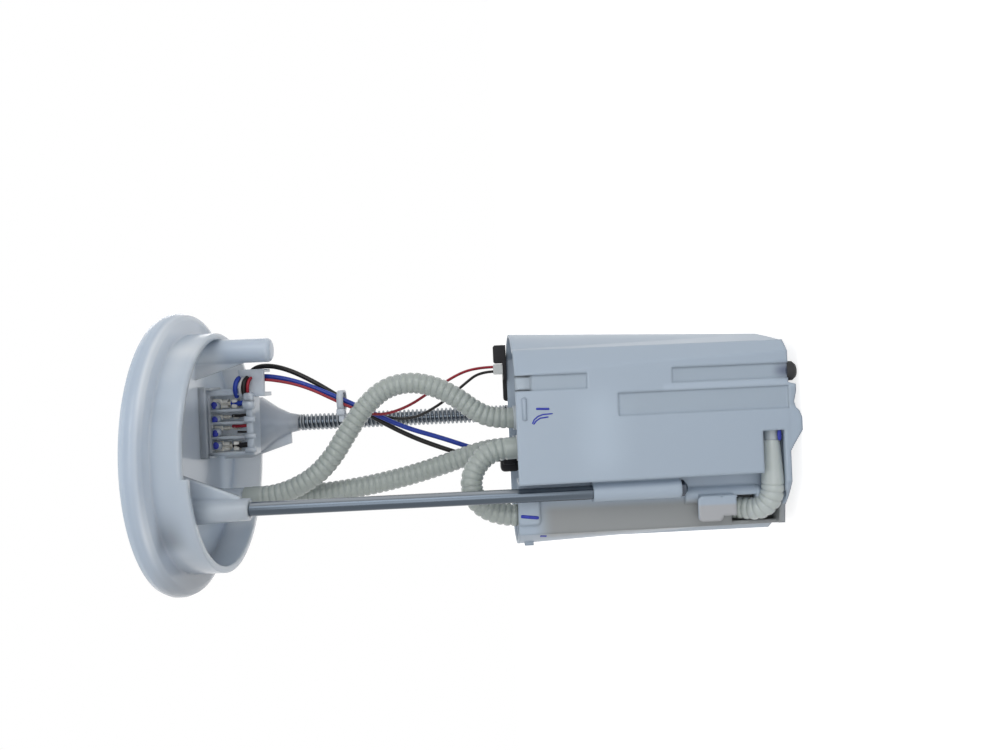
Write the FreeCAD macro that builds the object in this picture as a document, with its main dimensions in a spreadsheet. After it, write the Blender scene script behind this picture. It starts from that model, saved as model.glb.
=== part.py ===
"""Fuel pump module: a flange cover that slides on two guide rods above a drafted reservoir.

Millimetres. +Z runs up the guide rods, the reservoir's feet stand on z = 0 and the flange is at the top.
-Y is the near side, with the open corner that the front rod runs in. +Y is the back, with the level sender.
"""
import FreeCAD
import Part
import Sketcher
import math
import os
import re

SIZES = [
    ("flange_radius", 65.0, "rim of the flange cover"),
    ("flange_height", 270.0, "flange's inner face above the feet"),
    ("flange_thickness", 8.8, "rim thickness"),
    ("web_thickness", 4.0, "plate inside the rim"),
    ("rim_width", 13.0, "width of the thick rim"),
    ("rim_round", 3.2, "rounding of the rim's edges"),
    ("rim_overhang", 9.7, "rim beyond the spigot that drops into the tank hole"),
    ("skirt_length", 12.3, "depth of the spigot"),
    ("skirt_wall", 2.8, "wall of the spigot"),
    ("skirt_step", 2.2, "how much deeper the spigot is on the low side"),
    ("skirt_step_x", -6.0, "where the deeper stretch of the spigot starts"),
    ("rod_radius", 3.0, "both guide rods"),
    ("rod_clearance", 0.1, "running gap between a rod and its sleeve"),
    ("rod_grip", 25.0, "length of rod pressed into its boss"),
    ("rod_end_play", 3.0, "rod that stands out below its sleeve"),
    ("front_rod_x", -22.0, "front guide rod, across"),
    ("front_rod_gap", 7.0, "middle of the front guide rod, before the open corner's face"),
    ("front_boss_length", 33.0, "front rod's boss, below the flange"),
    ("front_boss_radius", 4.7, "front boss at its lower end"),
    ("rear_rod_x", 10.0, "rear guide rod, across"),
    ("rear_rod_y", 38.0, "rear guide rod, towards the back"),
    ("cone_length", 39.0, "rear rod's conical boss, below the flange"),
    ("cone_tip_radius", 4.15, "conical boss at its tip"),
    ("cone_base_radius", 14.0, "conical boss at the flange"),
    ("spare_boss_x", 46.6, "third boss, without a rod"),
    ("spare_boss_radius", 5.6, "third boss"),
    ("spare_boss_length", 36.0, "third boss, below the flange"),
    ("ring_radius", 3.5, "retaining ring on a rod"),
    ("ring_height", 1.2, "retaining ring, along the rod"),
    ("groove_depth", 0.5, "ring groove in a rod"),
    ("spring_radius", 3.78, "middle of the coil"),
    ("spring_wire", 1.0, "spring wire across"),
    ("spring_pitch", 2.4, "one turn along the rod"),
    ("tower_left", -3.0, "terminal tower, low side"),
    ("tower_right", 29.0, "terminal tower, high side"),
    ("tower_front", 6.0, "terminal tower, near face"),
    ("tower_back", 19.0, "terminal tower, back face"),
    ("tower_length", 24.0, "terminal tower, below the flange"),
    ("tower_wall", 2.0, "walls of the terminal window"),
    ("tower_depth", 9.0, "depth of the terminal window"),
    ("clip_width", 9.0, "wire clip beyond the tower"),
    ("clip_plate", 1.5, "plate of the wire clip"),
    ("blade_y", 12.0, "plane of the socket blades"),
    ("terminal_width", 5.0, "power terminal"),
    ("signal_width", 2.4, "sender terminal"),
    ("supply_terminal_x", 22.0, "pump's first terminal, across"),
    ("signal_terminal_x", 15.6, "sender's first terminal, across"),
    ("sender_terminal_x", 10.2, "sender's second terminal, across"),
    ("ground_terminal_x", 1.6, "pump's second terminal, across"),
    ("terminal_plate", 0.8, "thickness of a terminal"),
    ("socket_height", 18.0, "socket shroud above the flange"),
    ("socket_wall", 1.8, "socket shroud"),
    ("blade_height", 9.0, "blades inside the socket"),
    ("nipple_height", 24.0, "fuel nipples above the web"),
    ("supply_radius", 3.95, "supply nipple"),
    ("return_radius", 3.15, "return nipple"),
    ("bead_rise", 0.9, "bead of a nipple"),
    ("nipple_length", 20.0, "hose nipples inside, below the flange"),
    ("nipple_radius", 4.6, "hose nipples inside"),
    ("supply_x", -22.5, "supply nipple, across"),
    ("supply_y", 2.0, "supply nipple, along the view"),
    ("return_x", -24.0, "return nipple, across"),
    ("return_y", 15.0, "return nipple, along the view"),
    ("pot_rim", 123.0, "rim of the reservoir"),
    ("pot_base", 5.5, "underside of the reservoir's floor"),
    ("pot_radius", 49.0, "reservoir at its rim"),
    ("near_cut", 5.0, "near flat, in from the round form"),
    ("back_flat", 30.0, "distance of the back flat from the middle"),
    ("draft_angle", 2.1, "draft of the reservoir's walls, degrees"),
    ("square_rise", 4.2, "square corners, out from the round form"),
    ("square_near_cut", 8.6, "square high side, in from the round form at its near end"),
    ("square_back_cut", 4.6, "square high side, in from the round form at its back end"),
    ("square_near_depth", 17.3, "near end of the square high side, from the reservoir's near side"),
    ("square_back_depth", 51.0, "back end of the square high side, from the reservoir's near side"),
    ("post_near_cut", 8.8, "hose channel's straight side, in from the round form at its near end"),
    ("post_back_cut", 2.8, "hose channel's straight side, in from the round form at its back end"),
    ("post_near_depth", 19.0, "near end of the hose channel's straight side, from the near side"),
    ("post_step_depth", 33.7, "where the hose channel's side steps out, from the near side"),
    ("post_back_depth", 45.0, "back end of the hose channel's straight side, from the near side"),
    ("post_ramp", 6.0, "slopes at the ends of the straight side, along the view"),
    ("open_side_depth", 28.0, "where the near flat ends, from the reservoir's low side"),
    ("pot_wall", 2.0, "reservoir wall"),
    ("pot_floor", 2.5, "reservoir floor"),
    ("base_round", 5.0, "rounding at the foot of the high side"),
    ("channel_depth", 21.5, "hose channel, from the reservoir's low side to its inner side"),
    ("channel_back", 34.0, "hose channel, from the reservoir's near side to its back"),
    ("channel_wall", 1.5, "outer wall of the hose channel"),
    ("channel_low", 28.5, "top of the mouth that the hose leaves its channel by"),
    ("corner_x", -16.5, "side of the open corner"),
    ("corner_depth", 21.0, "open corner, from the reservoir's near side to its back"),
    ("notch_x", 1.5, "side of the hose notch at the foot"),
    ("notch_top", 17.5, "top of the hose notch"),
    ("lid_ledge", 7.0, "depth of the lid's ledge below the rim"),
    ("ledge_width", 0.8, "width of the lid's ledge"),
    ("lid_clearance", 0.2, "gap round the lid"),
    ("lid_thickness", 3.0, "plate of the pump holder"),
    ("sleeve_radius", 4.15, "rod sleeves"),
    ("front_sleeve_low", 53.0, "lower end of the front sleeve"),
    ("front_sleeve_high", 91.0, "upper end of the front sleeve"),
    ("rear_sleeve_low", 53.0, "lower end of the rear sleeve"),
    ("guide_bulge", 3.7, "half-round guide below the front sleeve"),
    ("guide_low", 17.4, "lower end of the half-round guide"),
    ("guide_shift", 4.6, "half-round guide, beside the front rod"),
    ("flute_depth", 1.0, "shallow flutes in the near wall"),
    ("upper_flute_x", 23.0, "flute at the rim, low side"),
    ("upper_flute_width", 6.5, "flute at the rim"),
    ("upper_flute_length", 30.5, "flute at the rim"),
    ("middle_flute_x", 23.8, "flute above the bumper, low side"),
    ("middle_flute_width", 6.4, "flute above the bumper"),
    ("middle_flute_top", 56.0, "flute above the bumper, its upper end"),
    ("lower_flute_x", 10.8, "wide flute, low side"),
    ("lower_flute_width", 9.7, "wide flute"),
    ("lower_flute_top", 79.5, "wide flute, its upper end"),
    ("tab_edge", -26.2, "clip tabs, their edge beside the rod"),
    ("tab_plate", 1.4, "clip tabs"),
    ("long_tab_width", 11.0, "long clip tab, across"),
    ("long_tab_low", 34.4, "long clip tab, lower end"),
    ("long_tab_high", 45.2, "long clip tab, upper end"),
    ("short_tab_width", 8.8, "short clip tab, across"),
    ("short_tab_low", 27.6, "short clip tab, lower end"),
    ("short_tab_high", 34.9, "short clip tab, upper end"),
    ("rim_tab_x", -36.0, "tab at the rim, low side"),
    ("rim_tab_width", 11.0, "tab at the rim, across"),
    ("rim_tab_height", 9.5, "tab at the rim"),
    ("foot_radius", 5.0, "round feet"),
    ("foot_x", 26.0, "round feet, across"),
    ("foot_y", 16.0, "round feet, towards the back"),
    ("near_foot_y", 39.6, "near face of the foot in front, before the middle"),
    ("bumper_depth", 22.4, "rubber bumper, from the reservoir's high side"),
    ("bumper_y", -35.0, "rubber bumper, towards the near side"),
    ("bumper_low", 1.0, "underside of the rubber bumper"),
    ("pump_beside", 21.5, "pump's middle, beside the hose channel"),
    ("pump_y", 0.0, "pump, along the view"),
    ("pump_radius", 19.0, "pump casing"),
    ("pump_low", 20.0, "lower end of the pump casing"),
    ("pump_headroom", 16.0, "from the pump casing to the underside of the holder's plate"),
    ("end_cap_height", 6.0, "pump end caps"),
    ("isolator_wall", 2.0, "rubber isolators"),
    ("isolator_height", 12.0, "rubber isolators"),
    ("holder_wall", 2.0, "cup of the pump holder"),
    ("hose_radius", 5.0, "outside of the corrugated hoses"),
    ("collar_height", 3.0, "hose collars on the lid"),
    ("collar_radius", 5.8, "hose collars on the lid"),
    ("supply_collar_x", 9.5, "supply hose at the lid, across"),
    ("supply_collar_y", 2.0, "supply hose at the lid, along the view"),
    ("return_collar_x", -5.5, "return hose at the lid, across"),
    ("return_collar_y", 12.0, "return hose at the lid, along the view"),
    ("jet_collar_x", -3.0, "jet pump's hose at the lid, across"),
    ("jet_collar_y", -18.0, "jet pump's hose at the lid, along the view"),
    ("power_wire", 1.2, "radius of a pump wire"),
    ("signal_wire", 0.7, "radius of a sender wire"),
    ("tie_left", 15.9, "cable tie round the wires, low side"),
    ("tie_width", 10.2, "cable tie, across"),
    ("tie_front", 8.8, "cable tie, near side"),
    ("tie_depth", 12.2, "cable tie, along the view"),
    ("tie_wall", 1.1, "cable tie strap"),
    ("tie_drop", 66.5, "cable tie, below the flange"),
    ("jet_depth", 15.2, "jet pump, from the reservoir's near side"),
    ("jet_z", 11.8, "jet pump, height"),
    ("jet_length", 9.0, "jet pump body"),
    ("jet_nipple_x", -3.0, "end of the jet pump's nipple"),
    ("jet_radius", 3.7, "jet pump body"),
    ("jet_nipple", 3.0, "jet pump nipple"),
    ("valve_x", 24.0, "inlet valve, across"),
    ("valve_y", -8.0, "inlet valve, along the view"),
    ("regulator_x", 27.0, "pressure regulator, across"),
    ("regulator_y", 20.0, "pressure regulator, along the view"),
    ("connector_width", 9.0, "pump's wire connector, across"),
    ("connector_y", 18.6, "pump's wire connector, near face"),
    ("connector_depth", 6.8, "pump's wire connector, along the view"),
    ("sender_left", 16.5, "level sender, low side"),
    ("sender_right", 38.0, "level sender, high side"),
    ("sender_low", 60.0, "lower end of the level sender"),
    ("sender_seat", 31.0, "face that the sender is screwed to"),
    ("sender_depth", 5.0, "level sender housing"),
    ("bridge_left", 27.5, "bridge over the rim to the sender's wires, low side"),
    ("bridge_right", 45.2, "bridge over the rim, high side"),
    ("bridge_near", 24.5, "bridge over the rim, near side"),
    ("sender_tab_width", 9.2, "upright tab on the bridge, across"),
    ("sender_tab_depth", 4.1, "upright tab on the bridge, along the view"),
    ("sender_tab_height", 6.4, "upright tab on the bridge"),
    ("plug_x", 30.4, "sender's plug, low side"),
    ("plug_width", 5.3, "sender's plug, across"),
    ("plug_depth", 5.2, "sender's plug, along the view"),
    ("plug_height", 4.8, "sender's plug"),
    ("pivot_x", 22.0, "float arm pivot, across"),
    ("pivot_z", 88.0, "float arm pivot, height"),
    ("pivot_radius", 1.6, "float arm pivot pin"),
    ("hub_radius", 5.5, "hub of the wiper holder"),
    ("arm_y", 44.0, "plane of the float arm"),
    ("arm_radius", 1.1, "float arm wire"),
    ("float_x", 0.0, "middle of the float at rest, across"),
    ("float_z", 26.0, "middle of the float at rest, height"),
    ("float_width", 24.0, "float, across and up"),
    ("float_near", 42.3, "near face of the float"),
    ("float_thickness", 9.4, "float"),
    ("far", 80.0, "reach of a cutting block past the part"),
]

RULES = {
    "skirt_radius": "(flange_radius - rim_overhang)",
    "front_boss_end": "(flange_height - front_boss_length)",
    "cone_tip": "(flange_height - cone_length)",
    "spare_boss_end": "(flange_height - spare_boss_length)",
    "tower_end": "(flange_height - tower_length)",
    "nipple_end": "(flange_height - nipple_length)",
    "tie_level": "(flange_height - tie_drop)",
    "near_flat": "(pot_radius - near_cut)",
    "square_reach": "(pot_radius + square_rise)",
    "square_near": "(pot_radius - square_near_cut)",
    "square_back": "(pot_radius - square_back_cut)",
    "square_near_y": "(square_near_depth - pot_radius)",
    "square_back_y": "(square_back_depth - pot_radius)",
    "post_near": "(pot_radius - post_near_cut)",
    "post_back": "(pot_radius - post_back_cut)",
    "post_near_y": "(post_near_depth - pot_radius)",
    "post_step_y": "(post_step_depth - pot_radius)",
    "post_back_y": "(post_back_depth - pot_radius)",
    "open_side_x": "(open_side_depth - pot_radius)",
    "pump_x": "(channel_depth - pot_radius + pump_beside)",
    "front_rod_y": "(corner_depth - pot_radius - front_rod_gap)",
    "channel_x": "(channel_depth - pot_radius)",
    "channel_y": "(channel_back - pot_radius)",
    "corner_y": "(corner_depth - pot_radius)",
    "jet_y": "(jet_depth - pot_radius)",
    "lid_low": "(pot_rim - lid_ledge)",
    "lid_high": "(pot_rim - lid_ledge + lid_thickness)",
    "collar_end": "(pot_rim - lid_ledge + lid_thickness + collar_height)",
    "pump_high": "(pot_rim - lid_ledge - pump_headroom)",
    "bumper_x": "(pot_radius - bumper_depth)",
}

doc = FreeCAD.newDocument("fuel_pump_module")
sheet = doc.addObject("Spreadsheet::Sheet", "Sizes")
for row, (alias, size, meaning) in enumerate(SIZES, start=1):
    sheet.set("A%d" % row, meaning)
    sheet.set("B%d" % row, str(size))
    sheet.setAlias("B%d" % row, alias)
doc.recompute()

ALIASES = {alias for alias, size, meaning in SIZES}
AXES = {
    "z": FreeCAD.Rotation(),
    "x": FreeCAD.Rotation(FreeCAD.Vector(0, 1, 0), 90),
    "y": FreeCAD.Rotation(FreeCAD.Vector(1, 0, 0), -90),
}


def sized(rule):
    """The rule with each shared rule written out and each size's name turned into its cell."""
    written = re.sub(r"[a-z][a-z_]*", lambda m: RULES.get(m[0], m[0]), str(rule))
    return re.sub(r"[a-z][a-z_]*", lambda m: "Sizes." + m[0] if m[0] in ALIASES else m[0], written)


def value(rule):
    return float(sheet.evalExpression(sized(rule)))


def bind(thing, **rules):
    for place, rule in rules.items():
        thing.setExpression(place, sized(rule))


def place(thing, x, y, z):
    for letter, rule in zip("xyz", (x, y, z)):
        thing.setExpression("Placement.Base." + letter, sized(rule))


def cylinder(name, radius, height, x="0", y="0", z="0", axis="z"):
    thing = doc.addObject("Part::Cylinder", name)
    bind(thing, Radius=radius, Height=height)
    thing.Placement.Rotation = AXES[axis]
    place(thing, x, y, z)
    return thing


def cone(name, low_radius, high_radius, height, x, y, z):
    thing = doc.addObject("Part::Cone", name)
    bind(thing, Radius1=low_radius, Radius2=high_radius, Height=height)
    place(thing, x, y, z)
    return thing


def box(name, x, y, z):
    """A block from three pairs of rules: its low and high side along each axis."""
    thing = doc.addObject("Part::Box", name)
    bind(thing, Length="(%s) - (%s)" % (x[1], x[0]), Width="(%s) - (%s)" % (y[1], y[0]),
         Height="(%s) - (%s)" % (z[1], z[0]))
    place(thing, x[0], y[0], z[0])
    return thing


def fuse(name, *pieces):
    thing = doc.addObject("Part::MultiFuse", name)
    thing.Shapes = list(pieces)
    return thing


def common(name, *pieces):
    thing = doc.addObject("Part::MultiCommon", name)
    thing.Shapes = list(pieces)
    return thing


def cut(name, base, *tools):
    thing = doc.addObject("Part::Cut", name)
    thing.Base = base
    thing.Tool = tools[0] if len(tools) == 1 else fuse(name + "_tools", *tools)
    return thing


def rounded(name, base, radius, chosen):
    """The base with the edges that chosen(edge) picks rounded."""
    doc.recompute()
    thing = doc.addObject("Part::Fillet", name)
    thing.Base = base
    size = value(radius)
    thing.Edges = [(i, size, size) for i, edge in enumerate(base.Shape.Edges, start=1) if chosen(edge)]
    return thing


def upright(edge):
    ends = [v.Point for v in edge.Vertexes]
    return len(ends) == 2 and (ends[1] - ends[0]).cross(FreeCAD.Vector(0, 0, 1)).Length < 1e-6


def along_y(edge):
    ends = [v.Point for v in edge.Vertexes]
    return len(ends) == 2 and (ends[1] - ends[0]).cross(FreeCAD.Vector(0, 1, 0)).Length < 1e-6


def origin_plane(body, role):
    return [item for item in body.Origin.OriginFeatures if item.Role == role][0]


def new_sketch(body, name, role):
    sketch = body.newObject("Sketcher::SketchObject", name)
    sketch.AttachmentSupport = (origin_plane(body, role), [""])
    sketch.MapMode = "FlatFace"
    return sketch


def pin_point(sketch, geometry, end, x, y):
    """Ties a point of the sketch to two rules."""
    for kind, rule in (("DistanceX", x), ("DistanceY", y)):
        number = sketch.addConstraint(Sketcher.Constraint(kind, -1, 1, geometry, end, value(rule)))
        sketch.setExpression("Constraints[%d]" % number, sized(rule))


def polygon(sketch, corners):
    """A closed outline of straight lines whose corners are pairs of rules."""
    points = [FreeCAD.Vector(value(x), value(y), 0) for x, y in corners]
    count = len(points)
    for i in range(count):
        sketch.addGeometry(Part.LineSegment(points[i], points[(i + 1) % count]))
    for i in range(count):
        sketch.addConstraint(Sketcher.Constraint("Coincident", i, 2, (i + 1) % count, 1))
    for i, (x, y) in enumerate(corners):
        pin_point(sketch, i, 1, x, y)


def turned(name, corners, x="0", y="0", z="0"):
    """A body of revolution about an upright axis, from corners of radius and height."""
    body = doc.addObject("PartDesign::Body", name)
    sketch = new_sketch(body, name + "_profile", "XZ_Plane")
    polygon(sketch, corners)
    turn = body.newObject("PartDesign::Revolution", name + "_turn")
    turn.Profile = sketch
    turn.ReferenceAxis = (sketch, ["V_Axis"])
    turn.Angle = 360
    place(body, x, y, z)
    return body


def plate(name, corners, low, high, role="XY_Plane"):
    """A flat plate with a polygon outline, between two levels along the plane's normal."""
    body = doc.addObject("PartDesign::Body", name)
    sketch = new_sketch(body, name + "_outline", role)
    polygon(sketch, corners)
    sketch.setExpression("AttachmentOffset.Base.z", sized(low))
    pad = body.newObject("PartDesign::Pad", name + "_pad")
    pad.Profile = sketch
    bind(pad, Length="(%s) - (%s)" % (high, low))
    return body


def name_part(thing, label):
    thing.Label = label
    PARTS.append(thing)
    return thing


PARTS = []
PI = math.pi


def at_height(height):
    """How far the draft has drawn the reservoir's wall in at a height."""
    return "(tan(draft_angle * 1deg) * (pot_rim - (%s)))" % height


def drafted(name, inset, low, high):
    """A cone with a near and a back flat and square corners, drawn in towards the foot by the draft."""
    low_in = "(%s + %s)" % (inset, at_height(low))
    high_in = "(%s + %s)" % (inset, at_height(high))
    round_form = cone(name + "_cone", "pot_radius - " + low_in, "pot_radius - " + high_in,
                      "(%s) - (%s)" % (high, low), "0", "0", low)
    flats = plate(name + "_flats", [
        ("%s - near_flat" % low_in, low), ("back_flat - %s" % low_in, low),
        ("back_flat - %s" % high_in, high), ("%s - near_flat" % high_in, high)],
        "-far", "far", role="YZ_Plane")
    low_side = [("open_side_x", "-far"), ("open_side_x", "post_near_y - 7 + " + inset),
                ("open_side_x - 11", "post_near_y - 1 + " + inset),
                ("%s - post_near" % inset, "post_near_y + " + inset),
                ("%s - post_near - 2.5" % inset, "post_step_y"),
                ("%s - post_back" % inset, "post_back_y - post_ramp"),
                ("%s - post_back" % inset, "post_back_y - " + inset),
                ("%s - post_back + 2.2" % inset, "post_back_y + post_ramp - " + inset)]
    high_side = [("square_back - " + inset, "square_back_y - " + inset),
                 ("square_back - " + inset, "square_back_y - 10.2"),
                 ("square_near - " + inset, "square_near_y"), ("square_near - " + inset, "-far")]
    plan = plate(name + "_plan", low_side + high_side, low, high)
    reach = cylinder(name + "_reach", "square_reach - " + inset, "(%s) - (%s)" % (high, low), z=low)
    corners = common(name + "_corners", flats, plan, reach)
    return fuse(name, common(name + "_round", round_form, flats), corners)


def foot_wedge(name, inset):
    """What the large rounding takes off the foot of the high side: an outline with one arc, along Y."""
    body = doc.addObject("PartDesign::Body", name)
    sketch = new_sketch(body, name + "_outline", "XZ_Plane")
    centre_x = "(pot_radius - %s - base_round + 0.25)" % at_height("pot_base + base_round")
    centre_z = "(pot_base + base_round - 0.15)"
    radius = "(base_round - %s)" % inset
    middle = FreeCAD.Vector(value(centre_x), value(centre_z), 0)
    circle = Part.Circle(middle, FreeCAD.Vector(0, 0, 1), value(radius))
    arc = Part.ArcOfCircle(circle, -PI / 2, 0)
    low = value("pot_base - 1")
    reach = value("far")
    below = FreeCAD.Vector(middle.x, low, 0)
    outside = FreeCAD.Vector(reach, low, 0)
    beside = FreeCAD.Vector(reach, middle.y, 0)
    sketch.addGeometry(arc)
    for start, end in ((arc.EndPoint, beside), (beside, outside), (outside, below), (below, arc.StartPoint)):
        sketch.addGeometry(Part.LineSegment(start, end))
    for i in range(5):
        sketch.addConstraint(Sketcher.Constraint("Coincident", i, 2, (i + 1) % 5, 1))
    pin_point(sketch, 0, 3, centre_x, centre_z)
    pin_point(sketch, 2, 2, "far", "pot_base - 1")
    number = sketch.addConstraint(Sketcher.Constraint("Radius", 0, value(radius)))
    sketch.setExpression("Constraints[%d]" % number, sized(radius))
    for line, kind in ((1, "Horizontal"), (2, "Vertical"), (3, "Horizontal"), (4, "Vertical")):
        sketch.addConstraint(Sketcher.Constraint(kind, line))
    sketch.setExpression("AttachmentOffset.Base.z", sized("-far"))
    pad = body.newObject("PartDesign::Pad", name + "_pad")
    pad.Profile = sketch
    bind(pad, Length="2 * far")
    return body


def reservoir_form(name, inset, low, high, channel=None):
    """The reservoir's form drawn in by an inset, less its open corner, hose notch, foot and channel."""
    form = drafted(name + "_draft", inset, low, high)
    floor = "pot_base + pot_floor - %s" % inset
    tools = [
        box(name + "_corner", ("-far", "corner_x + %s" % inset), ("-far", "corner_y + %s" % inset),
            (floor, high + " + 1")),
        box(name + "_notch", ("-far", "notch_x + %s" % inset), ("-far", "corner_y + %s" % inset),
            (floor, "notch_top + %s" % inset)),
        foot_wedge(name + "_foot", inset),
    ]
    if channel:
        tools.append(box(name + "_channel", ("-far", "channel_x + %s" % channel),
                         ("-far", "channel_y + %s" % channel), (low + " - 1", high + " + 1")))
    return cut(name, form, *tools)


def flute(which, low, high):
    x = which + "_flute_x"
    return box(which + "_flute", (x, "%s + %s_flute_width" % (x, which)), ("-far", "0"), (low, high))


def clip_tab(which, corner):
    """A rounded plate in front of the open corner."""
    plate_block = box(which + "_tab_block", ("tab_edge - %s_tab_width" % which, "tab_edge"),
                      ("front_rod_y", "front_rod_y + tab_plate"),
                      (which + "_tab_low", which + "_tab_high"))
    return rounded(which + "_tab", plate_block, corner, along_y)


def make_reservoir():
    above = "(pot_rim + 1)"
    outer = reservoir_form("pot_outer", "0", "pot_base", "pot_rim")
    cavity = reservoir_form("pot_cavity", "pot_wall", "pot_base + pot_floor", above, "pot_wall")
    ledge = reservoir_form("pot_ledge", "(pot_wall - ledge_width)", "pot_rim - lid_ledge", above,
                           "(pot_wall - ledge_width)")
    inside = reservoir_form("channel_form", "channel_wall", "pot_base + pot_floor", above)
    channel_block = box("channel_block", ("-far", "channel_x"), ("-far", "channel_y"), ("0", "pot_rim + 2"))
    channel = common("hose_channel", inside, channel_block)
    channel_mouth = box("channel_mouth", ("-far", "channel_x + 0.6"),
                        ("-far", "corner_y + channel_wall + 0.5"), ("pot_base + pot_floor", "channel_low"))
    skin = cut("pot_skin", reservoir_form("skin_outer", "0", "pot_base", above),
               reservoir_form("skin_inner", "flute_depth", "pot_base - 1", above))
    flutes = common("flutes", skin, fuse(
        "flute_blocks",
        flute("upper", "pot_rim - upper_flute_length", "pot_rim + 1"),
        flute("middle", "pot_base - 1", "middle_flute_top"),
        flute("lower", "pot_base - 1", "lower_flute_top")))
    front_sleeve = cylinder("front_sleeve", "sleeve_radius", "front_sleeve_high - front_sleeve_low",
                            "front_rod_x", "front_rod_y", "front_sleeve_low")
    front_web = box("front_web", ("front_rod_x - 1.5", "front_rod_x + 1.5"),
                    ("front_rod_y", "corner_y + 0.5"), ("front_sleeve_low", "front_sleeve_high"))
    side_web = box("side_web", ("front_rod_x", "corner_x + 0.5"), ("front_rod_y - 1", "front_rod_y + 1"),
                   ("front_sleeve_low", "front_sleeve_high"))
    rear_sleeve = cylinder("rear_sleeve", "sleeve_radius", "pot_rim - rear_sleeve_low",
                           "rear_rod_x", "rear_rod_y", "rear_sleeve_low")
    rear_web = box("rear_web", ("rear_rod_x - 1.5", "rear_rod_x + 1.5"), ("back_flat - 4", "rear_rod_y"),
                   ("rear_sleeve_low", "pot_rim"))
    bulge = common("guide_half", cylinder("guide_round", "guide_bulge", "front_sleeve_low - 3.5 - guide_low",
                                          "front_rod_x - guide_shift", "corner_y + 0.6", "guide_low"),
                   box("guide_front", ("-far", "far"), ("-far", "corner_y + 0.2"), ("0", "pot_rim")))
    seat = box("sender_boss", ("sender_left + 2", "sender_right - 3"), ("back_flat - 5.5", "sender_seat"),
               ("sender_low + 4", "pot_rim - 4"))
    near_foot = plate("near_foot", [
        ("-8.6", "pot_base + 0.5"), ("-4.6", "0.67 * pot_base"), ("1.2", "0"), ("6.6", "0"),
        ("9.5", "0.2 * pot_base"), ("11", "0.47 * pot_base"), ("13.4", "0.6 * pot_base"),
        ("18", "0.4 * pot_base"), ("21", "0.4 * pot_base"), ("22", "pot_base + 0.5")],
        "near_foot_y - 8.4", "near_foot_y", role="XZ_Plane")
    feet = [cylinder("foot_%s" % side, "foot_radius", "pot_base + 0.5", "%s * foot_x" % sign, "foot_y", "0")
            for side, sign in (("left", "-1"), ("right", "1"))]
    rim_tab = rounded("rim_tab", box("rim_tab_block", ("rim_tab_x", "rim_tab_x + rim_tab_width"),
                                     ("corner_y - 1.6", "corner_y + 0.5"),
                                     ("pot_rim - rim_tab_height", "pot_rim")), "1.6", along_y)
    tabs = [
        clip_tab("long", "2"),
        clip_tab("short", "1.4"),
        box("tab_web", ("tab_edge - 1.2", "tab_edge + 0.2"),
            ("front_rod_y + 0.5 * tab_plate", "corner_y + 0.5"),
            ("short_tab_low + 1.4", "long_tab_high - 1.2")),
        rim_tab,
        box("nub", ("1.2 - pot_radius", "7 - pot_radius"), ("-16", "-12"), ("pot_rim - 7", "pot_rim - 3")),
    ]
    solid = fuse("pot_solid", outer, front_sleeve, front_web, side_web, rear_sleeve, rear_web, bulge, seat,
                 near_foot, *feet, *tabs)
    bores = [
        cylinder("front_bore", "rod_radius + rod_clearance", "far", "front_rod_x", "front_rod_y",
                 "front_sleeve_low - 1"),
        cylinder("rear_bore", "rod_radius + rod_clearance", "2 * far", "rear_rod_x", "rear_rod_y",
                 "rear_sleeve_low - 1"),
        cylinder("jet_hole", "jet_nipple + 0.1", "pot_wall + 2", "notch_x - 1", "jet_y", "jet_z", axis="x"),
        cylinder("valve_hole", "4", "pot_floor + 2", "valve_x", "valve_y", "pot_base - 1"),
        cylinder("bumper_hole", "2", "pot_floor + 2", "bumper_x", "bumper_y", "pot_base - 1"),
        cylinder("hose_groove", "hose_radius + 0.3", "far", "-far", "jet_y", "jet_z", axis="x"),
    ]
    pot = cut("pot", solid, cavity, ledge, channel, channel_mouth, flutes, *bores)
    return name_part(pot, "reservoir_pot")


def rod_profile(length, ring_low):
    """A plain rod with a domed lower end and a groove for its ring."""
    return [
        ("0", "0"), ("rod_radius - 1.2", "0"), ("rod_radius", "1.0"),
        ("rod_radius", ring_low), ("rod_radius - groove_depth", ring_low),
        ("rod_radius - groove_depth", "%s + ring_height" % ring_low),
        ("rod_radius", "%s + ring_height" % ring_low),
        ("rod_radius", "%s - 0.6" % length), ("rod_radius - 0.6", length), ("0", length),
    ]


def make_rods():
    for which, end in (("front", "front_boss_end"), ("rear", "cone_tip")):
        low = which + "_sleeve_low"
        x = which + "_rod_x"
        y = which + "_rod_y"
        foot = "(%s - rod_end_play)" % low
        ring_low = "(rod_end_play - ring_height - 0.3)"
        length = "(%s + rod_grip - %s)" % (end, foot)
        name_part(turned(which + "_rod", rod_profile(length, ring_low), x, y, foot), which + "_guide_rod")
        ring = turned(which + "_ring", [
            ("rod_radius - groove_depth", "0"), ("ring_radius", "0"),
            ("ring_radius", "ring_height"), ("rod_radius - groove_depth", "ring_height")],
            x, y, "%s + %s" % (foot, ring_low))
        name_part(ring, which + "_rod_ring")


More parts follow.
